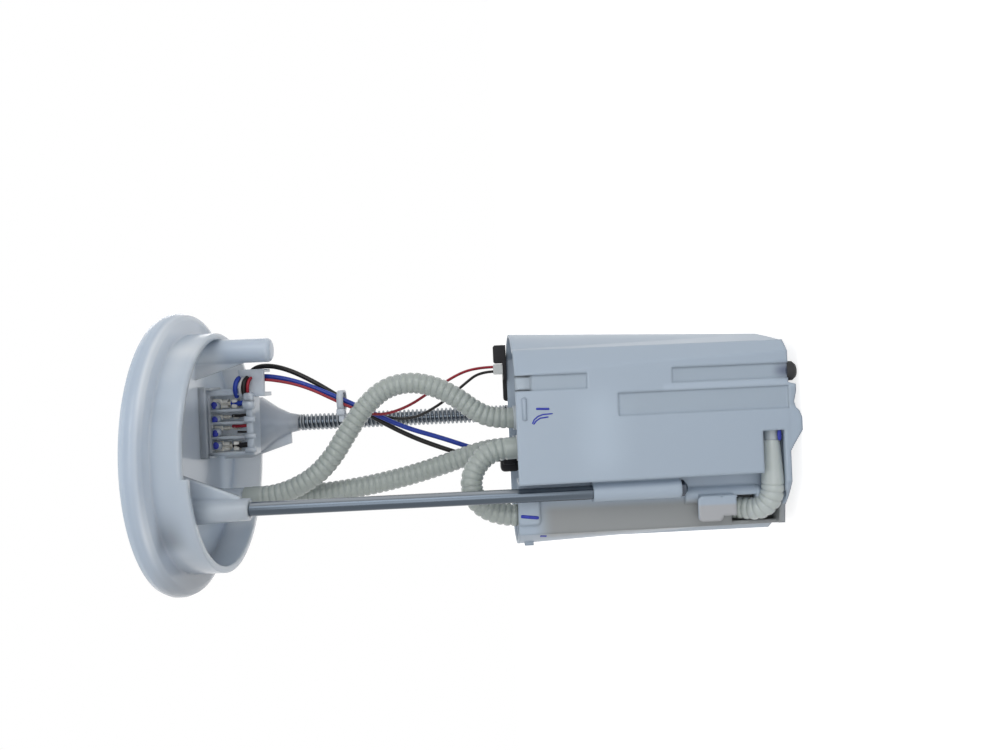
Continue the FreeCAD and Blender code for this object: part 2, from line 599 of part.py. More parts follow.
def make_flange():
    disc = turned("flange_disc", [
        ("0", "flange_height"), ("skirt_radius - skirt_wall", "flange_height"),
        ("skirt_radius - skirt_wall", "flange_height - skirt_length"),
        ("skirt_radius - 0.8", "flange_height - skirt_length"),
        ("skirt_radius", "flange_height - skirt_length + 0.8"),
        ("skirt_radius", "flange_height"), ("flange_radius - rim_round", "flange_height"),
        ("flange_radius - 0.29 * rim_round", "flange_height + 0.29 * rim_round"),
        ("flange_radius", "flange_height + rim_round"),
        ("flange_radius", "flange_height + flange_thickness - rim_round"),
        ("flange_radius - 0.29 * rim_round", "flange_height + flange_thickness - 0.29 * rim_round"),
        ("flange_radius - rim_round", "flange_height + flange_thickness"),
        ("flange_radius - rim_width", "flange_height + flange_thickness"),
        ("flange_radius - rim_width - 2", "flange_height + web_thickness"),
        ("0", "flange_height + web_thickness")])
    deep_side = cut("skirt_deep_side", cylinder("deep_outside", "skirt_radius", "skirt_step + 2", "0", "0",
                                                "flange_height - skirt_length - skirt_step"),
                    cylinder("deep_inside", "skirt_radius - skirt_wall", "skirt_step + 4", "0", "0",
                             "flange_height - skirt_length - skirt_step - 1"),
                    box("deep_start", ("skirt_step_x", "far"), ("-far", "far"), ("0", "flange_height")))
    front_boss = cone("front_boss", "front_boss_radius", "front_boss_radius + 1.3",
                      "flange_height - front_boss_end + 1", "front_rod_x", "front_rod_y", "front_boss_end")
    front_rib = plate("front_rib", [
        ("front_rod_x + 2", "front_boss_end + 4"), ("front_rod_x + 5.5", "front_boss_end + 4"),
        ("front_rod_x + 18", "flange_height + 1"), ("front_rod_x + 2", "flange_height + 1")],
        "-front_rod_y - 1.2", "-front_rod_y + 1.2", role="XZ_Plane")
    rear_boss = turned("rear_boss", [
        ("0", "cone_tip"), ("cone_tip_radius", "cone_tip"), ("cone_tip_radius + 1.1", "cone_tip + 5"),
        ("cone_tip_radius + 4.2", "cone_tip + 11"), ("cone_base_radius", "cone_tip + 19"),
        ("cone_base_radius", "flange_height + 1"), ("0", "flange_height + 1")], "rear_rod_x", "rear_rod_y")
    rear_rib = plate("rear_rib", [
        ("rear_rod_x - 17", "cone_tip + 25"), ("rear_rod_x - 10.5", "cone_tip + 4.5"),
        ("rear_rod_x - 2", "cone_tip + 4.5"), ("rear_rod_x - 2", "flange_height + 1"),
        ("rear_rod_x - 17", "flange_height + 1")],
        "-rear_rod_y - 1.2", "-rear_rod_y + 1.2", role="XZ_Plane")
    spare_boss = rounded("spare_boss", cylinder(
        "spare_boss_block", "spare_boss_radius", "flange_height - spare_boss_end + 1", "spare_boss_x", "0",
        "spare_boss_end"), "2.2", lambda edge: edge.BoundBox.ZMax < value("spare_boss_end") + 0.01)
    spare_rib = plate("spare_rib", [
        ("spare_boss_x - 4", "spare_boss_end + 8"), ("spare_boss_x - 13", "flange_height + 1"),
        ("spare_boss_x - 2", "flange_height + 1"), ("spare_boss_x - 2", "spare_boss_end + 8")],
        "-1.2", "1.2", role="XZ_Plane")
    tower = rounded("tower", box("tower_block", ("tower_left", "tower_right"), ("tower_front", "tower_back"),
                                 ("tower_end", "flange_height + 1")), "2", upright)
    window = box("tower_window", ("tower_left + tower_wall", "tower_right - tower_wall - 1"),
                 ("tower_front - 1", "tower_front + tower_depth"), ("tower_end + 3", "flange_height - 4"))
    walls = []
    for i, ((here, width), (beside, other)) in enumerate(zip(TERMINALS, TERMINALS[1:])):
        x = "0.5 * (%s + %s)" % (here, beside)
        walls.append(box("chamber_wall_%d" % i, (x + " - 0.6", x + " + 0.6"),
                         ("tower_front + 0.6", "tower_front + tower_depth + 1"),
                         ("tower_end + 2", "flange_height - 3")))
    clip = fuse("wire_clip",
                box("clip_front", ("tower_right - 4", "tower_right + clip_width"),
                    ("tower_front + 0.4", "tower_front + 0.4 + clip_plate"),
                    ("tower_end - 6", "tower_end + 6")),
                box("clip_side", ("tower_right + clip_width - clip_plate", "tower_right + clip_width"),
                    ("tower_front + 0.4", "tower_back - 1"), ("tower_end - 6", "tower_end - 3")),
                box("clip_stem", ("tower_right - 4", "tower_right - 2"), ("tower_front + 0.4", "tower_back"),
                    ("tower_end - 6", "tower_end + 6")))
    socket_top = "(flange_height + web_thickness + socket_height)"
    shroud_block = box("shroud_block", ("tower_left - 1", "tower_right + 1"),
                       ("tower_front - 2", "tower_back + 1"), ("flange_height + 1", socket_top))
    shroud = rounded("shroud", shroud_block, "4", upright)
    hollow_block = box("shroud_hollow_block",
                       ("tower_left - 1 + socket_wall", "tower_right + 1 - socket_wall"),
                       ("tower_front - 2 + socket_wall", "tower_back + 1 - socket_wall"),
                       ("flange_height + web_thickness", socket_top + " + 1"))
    shroud_hollow = rounded("shroud_hollow", hollow_block, "4 - socket_wall", upright)
    shroud_key = box("shroud_key", ("11", "15"), ("tower_back", "tower_back + 3"),
                     ("flange_height + 1", socket_top + " - 3"))
    web_top = "(flange_height + web_thickness)"
    nipples = []
    for which in ("supply", "return"):
        x = which + "_x"
        y = which + "_y"
        radius = which + "_radius"
        top = web_top + " + nipple_height"
        nipples.append(turned(which + "_nipple", [
            ("0", "nipple_end"), ("nipple_radius - 0.6", "nipple_end"),
            ("nipple_radius", "nipple_end + 1.2"),
            ("nipple_radius", "flange_height - 6"), ("nipple_radius + 1.6", "flange_height + 1"),
            (radius + " + 2", "flange_height + 1"), (radius + " + 2", web_top + " + 1.5"),
            (radius, web_top + " + 3"), (radius, top + " - 13"), (radius + " + bead_rise", top + " - 12"),
            (radius + " + bead_rise", top + " - 11"), (radius, top + " - 10"),
            (radius, top + " - 0.8"), (radius + " - 0.8", top), ("0", top)], x, y))
    solid = fuse("flange_solid", disc, deep_side, front_boss, front_rib, rear_boss, rear_rib, spare_boss,
                 spare_rib, cut("tower_shell", tower, window), *walls, clip,
                 cut("shroud_shell", shroud, shroud_hollow), shroud_key, *nipples)
    bore_length = "%s + nipple_height - nipple_end + 2" % web_top
    bores = [
        cylinder("front_grip", "rod_radius", "rod_grip", "front_rod_x", "front_rod_y", "front_boss_end"),
        cylinder("rear_grip", "rod_radius", "rod_grip", "rear_rod_x", "rear_rod_y", "cone_tip"),
        *[cylinder(which + "_bore", "0.6 * %s_radius" % which, bore_length, which + "_x", which + "_y",
                   "nipple_end - 1") for which in ("supply", "return")],
    ]
    terminals = make_terminals()
    slots = [box("blade_slot_%d" % i, ("%s - 0.5 * %s" % (x, width), "%s + 0.5 * %s" % (x, width)),
                 ("blade_y - 0.5 * terminal_plate", "blade_y + 0.5 * terminal_plate"),
                 ("flange_height - 5", "flange_height + web_thickness + 1"))
             for i, (x, width) in enumerate(TERMINALS)]
    cover = cut("flange", solid, *bores, *slots)
    name_part(cover, "flange_cover")
    for thing, label in terminals:
        name_part(thing, label)


TERMINALS = [("supply_terminal_x", "terminal_width"), ("signal_terminal_x", "signal_width"),
             ("sender_terminal_x", "signal_width"), ("ground_terminal_x", "terminal_width")]


def make_terminals():
    """A flat blade in the socket for each wire, with its crimp in the tower's window."""
    made = {"power_terminals": [], "sender_terminals": []}
    for i, (x, width) in enumerate(TERMINALS):
        blade = box("blade_%d" % i, ("%s - 0.5 * %s" % (x, width), "%s + 0.5 * %s" % (x, width)),
                    ("blade_y - 0.5 * terminal_plate", "blade_y + 0.5 * terminal_plate"),
                    ("tower_end + 7", "flange_height + web_thickness + blade_height"))
        crimp = cylinder("crimp_%d" % i, "0.36 * %s + 0.5" % width, "5", x, "blade_y", "tower_end + 4.5")
        label = "power_terminals" if width == "terminal_width" else "sender_terminals"
        made[label].append(fuse("terminal_%d" % i, blade, crimp))
    return [(fuse(label + "_group", *items), label) for label, items in made.items()]


def make_pump():
    mid = ("pump_x", "pump_y")
    case = turned("pump_case_turn", [
        ("0", "pump_low"), ("pump_radius - 1.5", "pump_low"), ("pump_radius", "pump_low + 1.5"),
        ("pump_radius", "pump_high - 1.5"), ("pump_radius - 1.5", "pump_high"), ("0", "pump_high")], *mid)
    name_part(case, "pump_case")
    outlet = turned("outlet_cap_turn", [
        ("0", "pump_high"), ("pump_radius - 3", "pump_high"),
        ("pump_radius - 4.5", "pump_high + end_cap_height"), ("5", "pump_high + end_cap_height"),
        ("4", "pump_high + end_cap_height + 6"), ("0", "pump_high + end_cap_height + 6")], *mid)
    name_part(outlet, "pump_outlet_cap")
    inlet = turned("inlet_cap_turn", [
        ("0", "pump_low - end_cap_height + 1"), ("8", "pump_low - end_cap_height + 1"),
        ("9", "pump_low - 3"), ("pump_radius - 3", "pump_low - 2"), ("pump_radius - 3", "pump_low"),
        ("0", "pump_low")], *mid)
    name_part(inlet, "pump_inlet_cap")
    strainer = turned("strainer_turn", [
        ("0", "pot_base + pot_floor + 0.4"), ("21", "pot_base + pot_floor + 0.4"),
        ("22", "pot_base + pot_floor + 2.2"), ("20", "pump_low - end_cap_height - 0.6"),
        ("9", "pump_low - end_cap_height + 1"), ("0", "pump_low - end_cap_height + 1")], *mid)
    name_part(strainer, "pump_strainer")
    for label, low in (("lower_isolator", "pump_low + 2"),
                       ("upper_isolator", "pump_high - isolator_height - 3")):
        ring = turned(label + "_turn", [
            ("pump_radius", low), ("pump_radius + isolator_wall", low),
            ("pump_radius + isolator_wall", low + " + isolator_height"),
            ("pump_radius", low + " + isolator_height")], *mid)
        name_part(ring, label)
    gap = "(pot_wall - ledge_width + lid_clearance)"
    lid = reservoir_form("lid_plate", gap, "lid_low", "lid_high", gap)
    inner = "pump_radius + isolator_wall"
    outer = inner + " + holder_wall"
    cup = turned("holder_cup", [
        (inner, "pump_high - 26"), (outer, "pump_high - 26"), (outer, "lid_low + 1"),
        (inner, "lid_low + 1")], *mid)
    carrier = turned("lower_cup", [
        (inner, "pump_low - 0.5"), (outer, "pump_low - 0.5"), (outer, "pump_low + isolator_height + 4"),
        (inner, "pump_low + isolator_height + 4")], *mid)
    leg_span = ("pump_low + isolator_height", "pump_high - 20")
    across = ("pump_x - 4", "pump_x + 4")
    legs = [box("leg_near", across, ("pump_y - (%s)" % outer, "pump_y - (%s)" % inner), leg_span),
            box("leg_back", across, ("pump_y + " + inner, "pump_y + " + outer), leg_span)]
    collars = [cylinder("collar_%d" % i, "collar_radius", "collar_height + 1", x, y, "lid_high - 1")
               for i, (x, y) in enumerate(COLLARS)]
    openings = [
        box("vent_a", ("17", "34"), ("-12", "14"), ("lid_low - 1", "lid_low + 5")),
        box("vent_b", ("-40", "-31"), ("-6", "14"), ("lid_low - 1", "lid_low + 5")),
    ]
    holder = cut("holder", fuse("holder_solid", lid, cup, carrier, *legs, *collars), *openings)
    name_part(holder, "pump_holder")
    regulator = turned("regulator_turn", [
        ("0", "lid_low - 18"), ("4", "lid_low - 18"), ("6.5", "lid_low - 15"), ("6.5", "lid_low - 5"),
        ("5", "lid_low - 4"), ("5", "lid_low"), ("0", "lid_low")], "regulator_x", "regulator_y")
    name_part(regulator, "pressure_regulator")


COLLARS = [(which + "_collar_x", which + "_collar_y") for which in ("supply", "return", "jet")]


def make_bottom_pieces():
    body = cylinder("jet_body", "jet_radius", "jet_length", "notch_x + pot_wall + 0.1", "jet_y", "jet_z",
                    axis="x")
    stub = cylinder("jet_stub", "jet_nipple", "notch_x + pot_wall + 1 - jet_nipple_x", "jet_nipple_x",
                    "jet_y", "jet_z", axis="x")
    jet = fuse("jet", body, stub)
    name_part(jet, "jet_pump")
    valve = turned("valve_turn", [
        ("0", "pot_base - 2"), ("6", "pot_base - 1"), ("6", "pot_base"), ("3.9", "pot_base"),
        ("3.9", "pot_base + pot_floor"), ("5", "pot_base + pot_floor"), ("2", "pot_base + pot_floor + 3"),
        ("0", "pot_base + pot_floor + 3")], "valve_x", "valve_y")
    name_part(valve, "inlet_valve")
    bumper = turned("bumper_turn", [
        ("0", "bumper_low"), ("3.2", "bumper_low"), ("4.2", "bumper_low + 1.2"), ("4.2", "pot_base"),
        ("1.9", "pot_base"), ("1.9", "pot_base + pot_floor"), ("3", "pot_base + pot_floor"),
        ("1.5", "pot_base + pot_floor + 3"), ("0", "pot_base + pot_floor + 3")], "bumper_x", "bumper_y")
    name_part(bumper, "bottom_bumper")


def make_sender():
    face = "(sender_seat + sender_depth)"
    main_block = box("sender_main_block", ("sender_left", "sender_right"), ("sender_seat", face),
                     ("sender_low", "pot_rim + 2"))
    tab_block = box("sender_tab_block", ("bridge_right - sender_tab_width", "bridge_right"),
                    ("bridge_near", "bridge_near + sender_tab_depth"),
                    ("pot_rim + 0.2", "pot_rim + 0.2 + sender_tab_height"))
    housing = fuse(
        "sender_housing_solid", rounded("sender_main", main_block, "1.5", along_y),
        box("sender_bridge", ("bridge_left", "bridge_right"), ("bridge_near", "sender_seat + 1"),
            ("pot_rim + 0.2", "pot_rim + 2")),
        rounded("sender_tab", tab_block, "1.2", along_y),
        cylinder("sender_pin", "pivot_radius", "arm_y - arm_radius - 0.5 - %s" % face, "pivot_x", face,
                 "pivot_z", axis="y"),
        box("card_frame_low", ("sender_left + 1", "sender_right - 1"), (face, face + " + 1"),
            ("sender_low + 2", "sender_low + 4")))
    corner = box("bridge_trim", ("bridge_right - 1.7", "far"), ("bridge_near + sender_tab_depth", "far"),
                 ("pot_rim", "pot_rim + 10"))
    name_part(cut("sender_housing", housing, corner), "level_sender_housing")
    card_block = box("card", ("sender_left + 2", "sender_right - 2"), (face, face + " + 0.8"),
                     ("sender_low + 5", "pivot_z + 14"))
    card_hole = cylinder("card_hole", "pivot_radius + 0.8", "4", "pivot_x", face + " - 1", "pivot_z",
                         axis="y")
    name_part(cut("card_cut", card_block, card_hole), "resistor_card")
    plug_block = box("plug_block", ("plug_x", "plug_x + plug_width"),
                     ("bridge_near + 0.3", "bridge_near + 0.3 + plug_depth"),
                     ("pot_rim + 2", "pot_rim + 2 + plug_height"))
    name_part(rounded("plug", plug_block, "0.8", along_y), "sender_plug")


def make_float_arm():
    near = "(sender_seat + sender_depth + 1.2)"
    hub = cut("hub", fuse(
        "hub_solid",
        cylinder("hub_disc", "hub_radius", "arm_y - 1.5 - %s" % near, "pivot_x", near, "pivot_z", axis="y"),
        box("wiper", ("pivot_x - 1.5", "pivot_x + 1.5"), (near, near + " + 1.2"),
            ("pivot_z", "pivot_z + 12")),
        box("wire_keeper", ("pivot_x - 3.5", "pivot_x + 3.5"), ("arm_y - 2", "arm_y + 1.3"),
            ("pivot_z - 4", "pivot_z + 4"))),
        cylinder("hub_bore", "pivot_radius + 0.1", "arm_y - arm_radius - 0.2 - %s" % near, "pivot_x",
                 near + " - 0.1", "pivot_z", axis="y"),
        cylinder("keeper_bore", "arm_radius", "12", "pivot_x", "arm_y", "pivot_z - 6"))
    name_part(hub, "wiper_holder")
    float_top = value("float_z + 0.5 * float_width")
    x = value("pivot_x")
    y = value("arm_y")
    z = value("pivot_z")
    end_x = value("float_x")
    route = [(x, y, z + 3.9), (x, y, z - 9), (end_x + 6, y, float_top + 12), (end_x, y, float_top),
             (end_x, y, float_top - 14)]
    arm = tube("arm_tube", route, value("arm_radius"))
    name_part(arm, "float_arm")
    block = rounded("float_round", box(
        "float_block", ("float_x - 0.5 * float_width", "float_x + 0.5 * float_width"),
        ("float_near", "float_near + float_thickness"),
        ("float_z - 0.5 * float_width", "float_z + 0.5 * float_width")), "3", along_y)
    bore = cylinder("float_bore", "arm_radius", "15", "float_x", "arm_y", "float_z + 0.5 * float_width - 14")
    name_part(cut("float", block, bore), "float")


def tube_path(points, share=0.45):
    """Straight runs joined by tangent arcs, each as large as its two runs allow."""
    points = [FreeCAD.Vector(*p) for p in points]
    edges = []
    radii = []
    here = points[0]
    for before, corner, after in zip(points, points[1:], points[2:]):
        into = (corner - before).normalize()
        out = (after - corner).normalize()
        turn = into.getAngle(out)
        reach = share * min((corner - before).Length, (after - corner).Length)
        radius = reach / math.tan(turn / 2)
        radii.append(radius)
        start = corner - into * reach
        end = corner + out * reach
        bisector = (out - into).normalize()
        middle = corner + bisector * (radius / math.cos(turn / 2) - radius)
        edges.append(Part.LineSegment(here, start).toShape())
        edges.append(Part.Arc(start, middle, end).toShape())
        here = end
    edges.append(Part.LineSegment(here, points[-1]).toShape())
    return Part.Wire(edges), radii


def tube(name, points, radius):
    path, radii = tube_path(points)
    start = FreeCAD.Vector(*points[0])
    ahead = FreeCAD.Vector(*points[1]) - start
    section = Part.Wire([Part.makeCircle(radius, start, ahead)])
    solid = path.makePipeShell([section], True, True)
    thing = doc.addObject("Part::Feature", name)
    thing.Shape = solid
    expected = PI * radius ** 2 * path.Length
    print("%s: length %.1f, least radius %.1f, volume over section times length %.4f"
          % (name, path.Length, min(radii), solid.Volume / expected))
    return thing


def fitted(route, *moves):
    """The route with its points moved along with what they run to.

    Each move is a point's number and where that point's fitting is now. Points between two such numbers
    share their moves, and those beyond the last one keep to it.
    """
    shifts = [(number, FreeCAD.Vector(*[value(rule) for rule in place]) - FreeCAD.Vector(*route[number]))
              for number, place in moves]
    moved = []
    for i, point in enumerate(route):
        before = [s for s in shifts if s[0] <= i]
        after = [s for s in shifts if s[0] >= i]
        low = before[-1] if before else after[0]
        high = after[0] if after else before[-1]
        share = (i - low[0]) / (high[0] - low[0]) if high[0] > low[0] else 0
        moved.append(tuple(FreeCAD.Vector(*point) + low[1] * (1 - share) + high[1] * share))
    return moved


SUPPLY_ROUTE = [
    (-22.5, 2, 250), (-22.5, 2, 240.5), (-20.6, 2, 230), (-15, 2, 218), (-6, 2, 208.5),
    (6, 2, 200.8), (17.8, 2, 192.4), (26.4, 2, 182.5), (28.8, 2, 170.5), (26.3, 2, 158.8),
    (20.4, 2, 148.4), (13.4, 2, 139.8), (9.5, 2, 131.2), (9.5, 2, 122)]
RETURN_ROUTE = [
    (-24, 15, 250), (-24, 15, 239.5), (-24.4, 15.2, 224), (-22.4, 15.5, 200), (-18, 15, 176),
    (-12.5, 14, 156), (-7.6, 12.6, 141), (-5.5, 12, 131), (-5.5, 12, 122)]
JET_ROUTE = [
    (-3, -18, 122), (-3, -18, 129.5), (-6, -18.8, 137), (-12.8, -20.2, 142.4), (-21, -21.4, 143.4),
    (-28.2, -21.6, 138.9), (-32.3, -21, 130), (-33.3, -20.8, 116), (-33.3, -20.5, 92), (-33.2, -20.6, 68),
    (-33.4, -20.7, 48), (-33.6, -20.8, 36), (-33.9, -21, 27.4), (-34, -22.9, 22.9), (-34, -28.4, 17.3),
    (-31.2, -31.8, 13.8), (-26.3, -33.7, 11.9), (-18.4, -34, 11.7), (-10.7, -33.8, 11.8), (-3, -33.8, 11.8)]


def make_hoses():
    radius = value("hose_radius")
    supply = fitted(SUPPLY_ROUTE,
                    (1, ("supply_x", "supply_y", "nipple_end - 9.5")),
                    (12, ("supply_collar_x", "supply_collar_y", "collar_end + 9.2")))
    back = fitted(RETURN_ROUTE,
                  (1, ("return_x", "return_y", "nipple_end - 10.5")),
                  (7, ("return_collar_x", "return_collar_y", "collar_end + 9")))
    jet_feed = fitted(JET_ROUTE,
                      (1, ("jet_collar_x", "jet_collar_y", "collar_end + 7.5")),
                      (6, ("channel_x - 4.8", "channel_y - 6", "pot_rim + 7")),
                      (10, ("channel_x - 5.9", "channel_y - 5.7", "channel_low + 19.5")),
                      (18, ("jet_nipple_x - 7.7", "jet_y", "jet_z")))
    for label, route in (("supply_hose", supply), ("return_hose", back), ("jet_feed_hose", jet_feed)):
        name_part(tube(label + "_tube", route, radius), label)


PUMP_BLACK_ROUTE = [
    (29.5, 16.4, 251.2), (34.6, 16.8, 251), (39.4, 17, 246.6), (39.6, 16.6, 238.5), (36.6, 16, 229),
    (30.4, 15.4, 217.5), (22, 15.7, 205), (10.6, 18.6, 188.5), (1.5, 21.2, 173), (-5, 22.5, 158),
    (-10.4, 22.4, 143), (-12.3, 22, 134.5), (-12.3, 22, 127.5)]
PUMP_BLUE_ROUTE = [
    (29.5, 12.5, 250), (33, 12.5, 248.5), (35, 12.5, 241.5), (31.6, 12.6, 226), (23.5, 12.6, 208),
    (14.6, 15, 191), (6, 18.8, 175), (0.2, 21.2, 158), (-5.6, 22.2, 143), (-8.7, 22, 134.5),
    (-8.7, 22, 127.5)]
SENDER_RED_ROUTE = [
    (29.5, 9.6, 248.5), (32.5, 9.6, 246.5), (33, 9.8, 239), (29, 10.2, 222), (19.3, 11, 204),
    (12.5, 13, 189), (15.5, 15.5, 174.5), (24, 18.5, 160.5), (32, 22.5, 147), (34.3, 26.8, 137),
    (34.3, 27.4, 129.8)]
SENDER_BLACK_ROUTE = [
    (29.5, 19, 249.5), (33, 19.2, 247.6), (34.2, 19, 239), (29.2, 18.2, 224), (20.6, 18, 205),
    (12, 22, 188), (9.4, 21.8, 171.5), (17, 22.4, 156.5), (26.5, 24.6, 144.5), (31.9, 26.8, 137),
    (32, 27.4, 129.8)]


def make_wires():
    thick = value("power_wire")
    thin = value("signal_wire")
    black = fitted(PUMP_BLACK_ROUTE, (0, ("tower_right + 0.5", "16.4", "tower_end + 5.2")),
                   (6, ("tie_left + 6.1", "tie_front + 6.9", "tie_level + 1.5")),
                   (11, ("pump_x - 6.3", "22", "pot_rim + 11.5")))
    blue = fitted(PUMP_BLUE_ROUTE, (0, ("tower_right + 0.5", "12.5", "tower_end + 4")),
                  (4, ("tie_left + 7.6", "tie_front + 3.8", "tie_level + 4.5")),
                  (9, ("pump_x - 2.7", "22", "pot_rim + 11.5")))
    red = fitted(SENDER_RED_ROUTE, (0, ("tower_right + 0.5", "9.6", "tower_end + 2.5")),
                 (4, ("tie_left + 3.4", "tie_front + 2.2", "tie_level + 0.5")),
                 (9, ("34.3", "26.8", "pot_rim + 14")))
    dark = fitted(SENDER_BLACK_ROUTE, (0, ("tower_right + 0.5", "19", "tower_end + 3.5")),
                  (4, ("tie_left + 4.7", "tie_front + 9.2", "tie_level + 1.5")),
                  (9, ("31.9", "26.8", "pot_rim + 14")))
    for label, route, radius in (("pump_wire_black", black, thick), ("pump_wire_blue", blue, thick),
                                 ("sender_wire_red", red, thin), ("sender_wire_black", dark, thin)):
        name_part(tube(label + "_tube", route, radius), label)
    tie_block = box("tie_block", ("tie_left", "tie_left + tie_width"),
                    ("tie_front", "tie_front + tie_depth"), ("tie_level", "tie_level + 3"))
    tie_inside = box("tie_hollow_block", ("tie_left + tie_wall", "tie_left + tie_width - tie_wall"),
                     ("tie_front + tie_wall", "tie_front + tie_depth - tie_wall"),
                     ("tie_level - 1", "tie_level + 4"))
    tie = cut("tie", rounded("tie_round", tie_block, "2", upright),
              rounded("tie_hollow", tie_inside, "1", upright))
    name_part(tie, "cable_tie")
    connector_block = box("connector_block", ("pump_x - connector_width", "pump_x"),
                          ("connector_y", "connector_y + connector_depth"), ("lid_high", "pot_rim + 4.5"))
    connector = rounded("connector_round", connector_block, "2", along_y)
    name_part(connector, "pump_connector")


def make_spring():
    """An open coil of square wire, its path a fine polygon, so that it stays light."""
    low = value("pot_rim") + 0.5 * value("spring_wire") + 0.05
    high = value("cone_tip") - 0.5 * value("spring_wire") - 0.05
    pitch = value("spring_pitch")
    middle = value("spring_radius")
    half = 0.5 * value("spring_wire")
    x = value("rear_rod_x")
    y = value("rear_rod_y")
    per_turn = 8
    steps = int(per_turn * (high - low) / pitch)
    rings = []
    for i in range(steps + 1):
        angle = 2 * PI * i / per_turn
        level = low + (high - low) * i / steps
        ring = []
        for out, up in ((-half, 0), (0, -half), (half, 0), (0, half)):
            reach = middle + out
            ring.append(FreeCAD.Vector(x + reach * math.cos(angle), y + reach * math.sin(angle), level + up))
        rings.append(ring)
    faces = [Part.Face(Part.makePolygon(rings[0] + rings[0][:1])),
             Part.Face(Part.makePolygon(rings[-1] + rings[-1][:1]))]
    for ring, following in zip(rings, rings[1:]):
        for k in range(4):
            a, b = ring[k], ring[(k + 1) % 4]
            c, d = following[(k + 1) % 4], following[k]
            faces.append(Part.Face(Part.makePolygon([a, b, c, a])))
            faces.append(Part.Face(Part.makePolygon([a, c, d, a])))
    thing = doc.addObject("Part::Feature", "spring_coil")
    thing.Shape = Part.Solid(Part.makeShell(faces))
    name_part(thing, "compression_spring")


make_flange()
make_rods()
make_reservoir()
make_pump()
make_bottom_pieces()
make_sender()
make_float_arm()
make_hoses()
make_wires()
make_spring()
doc.recompute()

for item in doc.Objects:
    if "Invalid" in item.State or "Error" in item.State:
        raise RuntimeError("%s failed: %s" % (item.Name, item.State))
for part in PARTS:
    if part.Shape.isNull() or not part.Shape.isValid():
        raise RuntimeError("%s has no valid shape" % part.Label)
os.makedirs("parts", exist_ok=True)
for part in PARTS:
    part.Shape.exportStep("parts/%s.step" % part.Label)
print("%d nodes written" % len(PARTS))
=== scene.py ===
"""A fuel pump module: its looks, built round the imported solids, in metres.

+Z runs up the guide rods and the reservoir's feet stand on z = 0. The picture is taken from the -Y side
with +X upwards, because the module lies on its side in it.
"""
import math

import bmesh
import bpy
from mathutils import Matrix, Vector


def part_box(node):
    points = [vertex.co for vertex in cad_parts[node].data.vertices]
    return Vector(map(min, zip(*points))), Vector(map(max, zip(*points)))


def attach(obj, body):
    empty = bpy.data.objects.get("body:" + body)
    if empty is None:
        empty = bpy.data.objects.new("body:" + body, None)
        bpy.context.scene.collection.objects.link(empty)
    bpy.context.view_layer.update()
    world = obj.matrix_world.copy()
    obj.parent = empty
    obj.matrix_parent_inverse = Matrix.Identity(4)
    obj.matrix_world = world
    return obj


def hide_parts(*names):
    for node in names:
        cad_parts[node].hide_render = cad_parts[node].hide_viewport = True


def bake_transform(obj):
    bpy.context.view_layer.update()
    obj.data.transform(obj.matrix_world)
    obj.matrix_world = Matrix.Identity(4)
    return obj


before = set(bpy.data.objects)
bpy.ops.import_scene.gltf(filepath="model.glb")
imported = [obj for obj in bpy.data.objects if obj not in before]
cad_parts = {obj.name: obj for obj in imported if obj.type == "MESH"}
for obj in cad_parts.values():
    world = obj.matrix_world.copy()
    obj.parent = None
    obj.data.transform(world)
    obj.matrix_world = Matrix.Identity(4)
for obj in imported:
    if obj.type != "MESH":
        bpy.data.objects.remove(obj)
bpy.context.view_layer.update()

MM = 0.001
RESERVOIR = "reservoir"
FLANGE = "flange"


def mm(x, y, z):
    return Vector((x, y, z)) * MM


def placed(name, data):
    thing = bpy.data.objects.new(name, data)
    bpy.context.collection.objects.link(thing)
    return thing


def low_corner(node):
    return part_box(node)[0]


def high_corner(node):
    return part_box(node)[1]


# Camera

CAMERA_PLACE = mm(30.7, -362.5, 140.5)
CAMERA_RIGHT = Vector((-0.0434, -0.0361, -0.9984))
CAMERA_UP = Vector((0.9991, 0.0, -0.0434))
CAMERA_LENS = 27.52
SENSOR_WIDTH = 36


def make_camera():
    lens = bpy.data.cameras.new("camera")
    lens.lens = CAMERA_LENS
    lens.sensor_width = SENSOR_WIDTH
    camera = placed("camera", lens)
    back = CAMERA_RIGHT.cross(CAMERA_UP).normalized()
    up = back.cross(CAMERA_RIGHT).normalized()
    turn = Matrix((CAMERA_RIGHT.normalized(), up, back)).transposed().to_4x4()
    camera.matrix_world = Matrix.Translation(CAMERA_PLACE) @ turn
    bpy.context.scene.camera = camera


make_camera()


# Node trees

def joined(tree, given, socket):
    """Feeds a socket from another socket, or sets it to a plain value."""
    if isinstance(given, bpy.types.NodeSocket):
        tree.links.new(given, socket)
    elif given is not None:
        socket.default_value = given


def node(tree, kind, settings=(), **inputs):
    """A node with its properties and its inputs, by name with _ for a space, set or fed."""
    made = tree.nodes.new(kind)
    for key, given in dict(settings).items():
        setattr(made, key, given)
    for key, given in inputs.items():
        joined(tree, given, made.inputs[key.replace("_", " ")])
    return made


def sums(tree, operation, *values):
    made = tree.nodes.new("ShaderNodeMath")
    made.operation = operation
    for given, socket in zip(values, made.inputs):
        joined(tree, given, socket)
    return made.outputs[0]


MIX_SOCKETS = {"FLOAT": (0, 2, 3, 0), "RGBA": (0, 6, 7, 2)}


def mixed(tree, kind, *values):
    """What a Mix node makes of a factor and two values. Its sockets share names, so they go by number."""
    made = node(tree, "ShaderNodeMix", {"data_type": kind})
    *places, result = MIX_SOCKETS[kind]
    for given, place in zip(values, places):
        joined(tree, given, made.inputs[place])
    return made.outputs[result]


KINDS = {"float": "NodeSocketFloat", "int": "NodeSocketInt", "material": "NodeSocketMaterial"}


